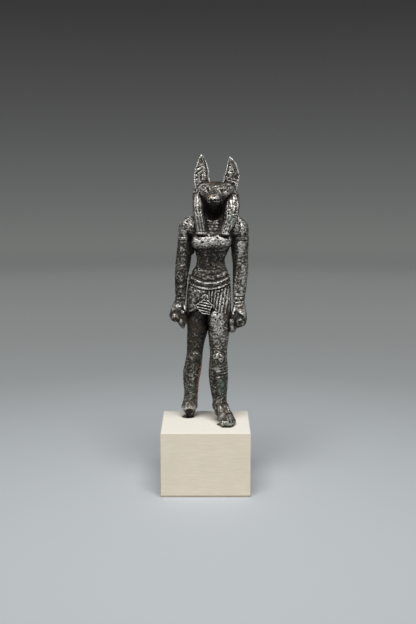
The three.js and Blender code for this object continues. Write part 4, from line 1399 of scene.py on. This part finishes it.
# painted light: the floor and wall's greys rise and fall with distance and height to copy how the light
# falls off, darkest up the wall
BACKDROP_GREY_AND_FALLOFF = (
    (0.02, (0.44, 0.465, 0.485)),
    (0.06, (0.41, 0.435, 0.45)),
    (0.11, (0.36, 0.38, 0.38)),
    (0.17, (0.39, 0.41, 0.405)),
    (0.33, (0.60, 0.63, 0.61)),
    (0.43, (0.58, 0.60, 0.58)),
    (0.53, (0.395, 0.41, 0.40)),
    (0.62, (0.25, 0.255, 0.25)),
    (0.73, (0.112, 0.112, 0.11)),
)
SOFTBOX_PLACE = (0, -0.40, 0.92)
SOFTBOX_AIM = (0, 0, 0.11)
SOFTBOX_SIZE = (0.75, 0.5)
SOFTBOX_POWER = 13.0
ROOM_COLOUR = (0.9, 0.95, 1, 1)
ROOM_STRENGTH = 0.05


def sweep():
    """A round pale floor that curves up into a wall on all sides, its greys carrying a painted falloff of
    light.
    """
    profile = [(FLOOR_RADIUS * n / FLOOR_RINGS, 0.0) for n in range(FLOOR_RINGS + 1)]
    arc = [math.pi / 2 * n / SWEEP_RINGS for n in range(1, SWEEP_RINGS + 1)]
    profile += [(FLOOR_RADIUS + SWEEP_RADIUS * math.sin(t), SWEEP_RADIUS * (1 - math.cos(t))) for t in arc]
    profile += [(FLOOR_RADIUS + SWEEP_RADIUS, WALL_HEIGHT)]
    turns = [2 * math.pi * n / SPOKES for n in range(SPOKES)]
    points = [(reach * math.cos(t), reach * math.sin(t), height) for reach, height in profile for t in turns]
    ring, spoke = np.arange(len(profile) - 1)[:, None] * SPOKES, np.arange(SPOKES)
    here, beside = ring + spoke, ring + (spoke + 1) % SPOKES
    faces = np.stack((here, here + SPOKES, beside + SPOKES, beside), -1).reshape(-1, 4)
    floor = mesh_of("floor", points, faces)
    n = Nodes("backdrop")
    parts = n.parts(n.place())
    reach = n.math("SQRT", n.plus(n.math("POWER", parts["X"], 2.0), n.math("POWER", parts["Y"], 2.0)))
    away = n.math("DIVIDE", n.plus(reach, parts["Z"]), BACKDROP_REACH)
    n.set(Base_Color=n.colours(away, BACKDROP_GREY_AND_FALLOFF), Roughness=0.9)
    floor.data.materials.append(n.material)


def softbox():
    lamp = bpy.data.lights.new("softbox", "AREA")
    lamp.shape = "RECTANGLE"
    lamp.size, lamp.size_y = SOFTBOX_SIZE
    lamp.energy = SOFTBOX_POWER
    made = object_of("softbox", lamp)
    made.location = SOFTBOX_PLACE
    towards = Vector(SOFTBOX_AIM) - Vector(SOFTBOX_PLACE)
    made.rotation_euler = towards.to_track_quat("-Z", "Y").to_euler()
    made.visible_camera = False


def studio():
    sweep()
    softbox()
    world = bpy.data.worlds.new("room")
    world.use_nodes = True
    room = world.node_tree.nodes["Background"].inputs
    room["Color"].default_value = ROOM_COLOUR
    room["Strength"].default_value = ROOM_STRENGTH
    bpy.context.scene.world = world
    bpy.context.scene.view_settings.view_transform = "Standard"


# Camera: the photograph's angle, found from the corners of the block

FOCAL_PIXELS = 1098.0
IMAGE_HEIGHT = 624
CAMERA_PLACE = (0.00128, -0.587, 0.1982)
CAMERA_DOWN = math.radians(9.79)
CLIP = (0.01, 20)


def camera():
    lens = bpy.data.cameras.new("camera")
    lens.lens = lens.sensor_width * FOCAL_PIXELS / IMAGE_HEIGHT
    made = object_of("camera", lens)
    made.location = CAMERA_PLACE
    made.rotation_euler = (math.pi / 2 - CAMERA_DOWN, 0, 0)
    lens.clip_start, lens.clip_end = CLIP
    bpy.context.scene.camera = made


camera()
studio()
figure()
block()
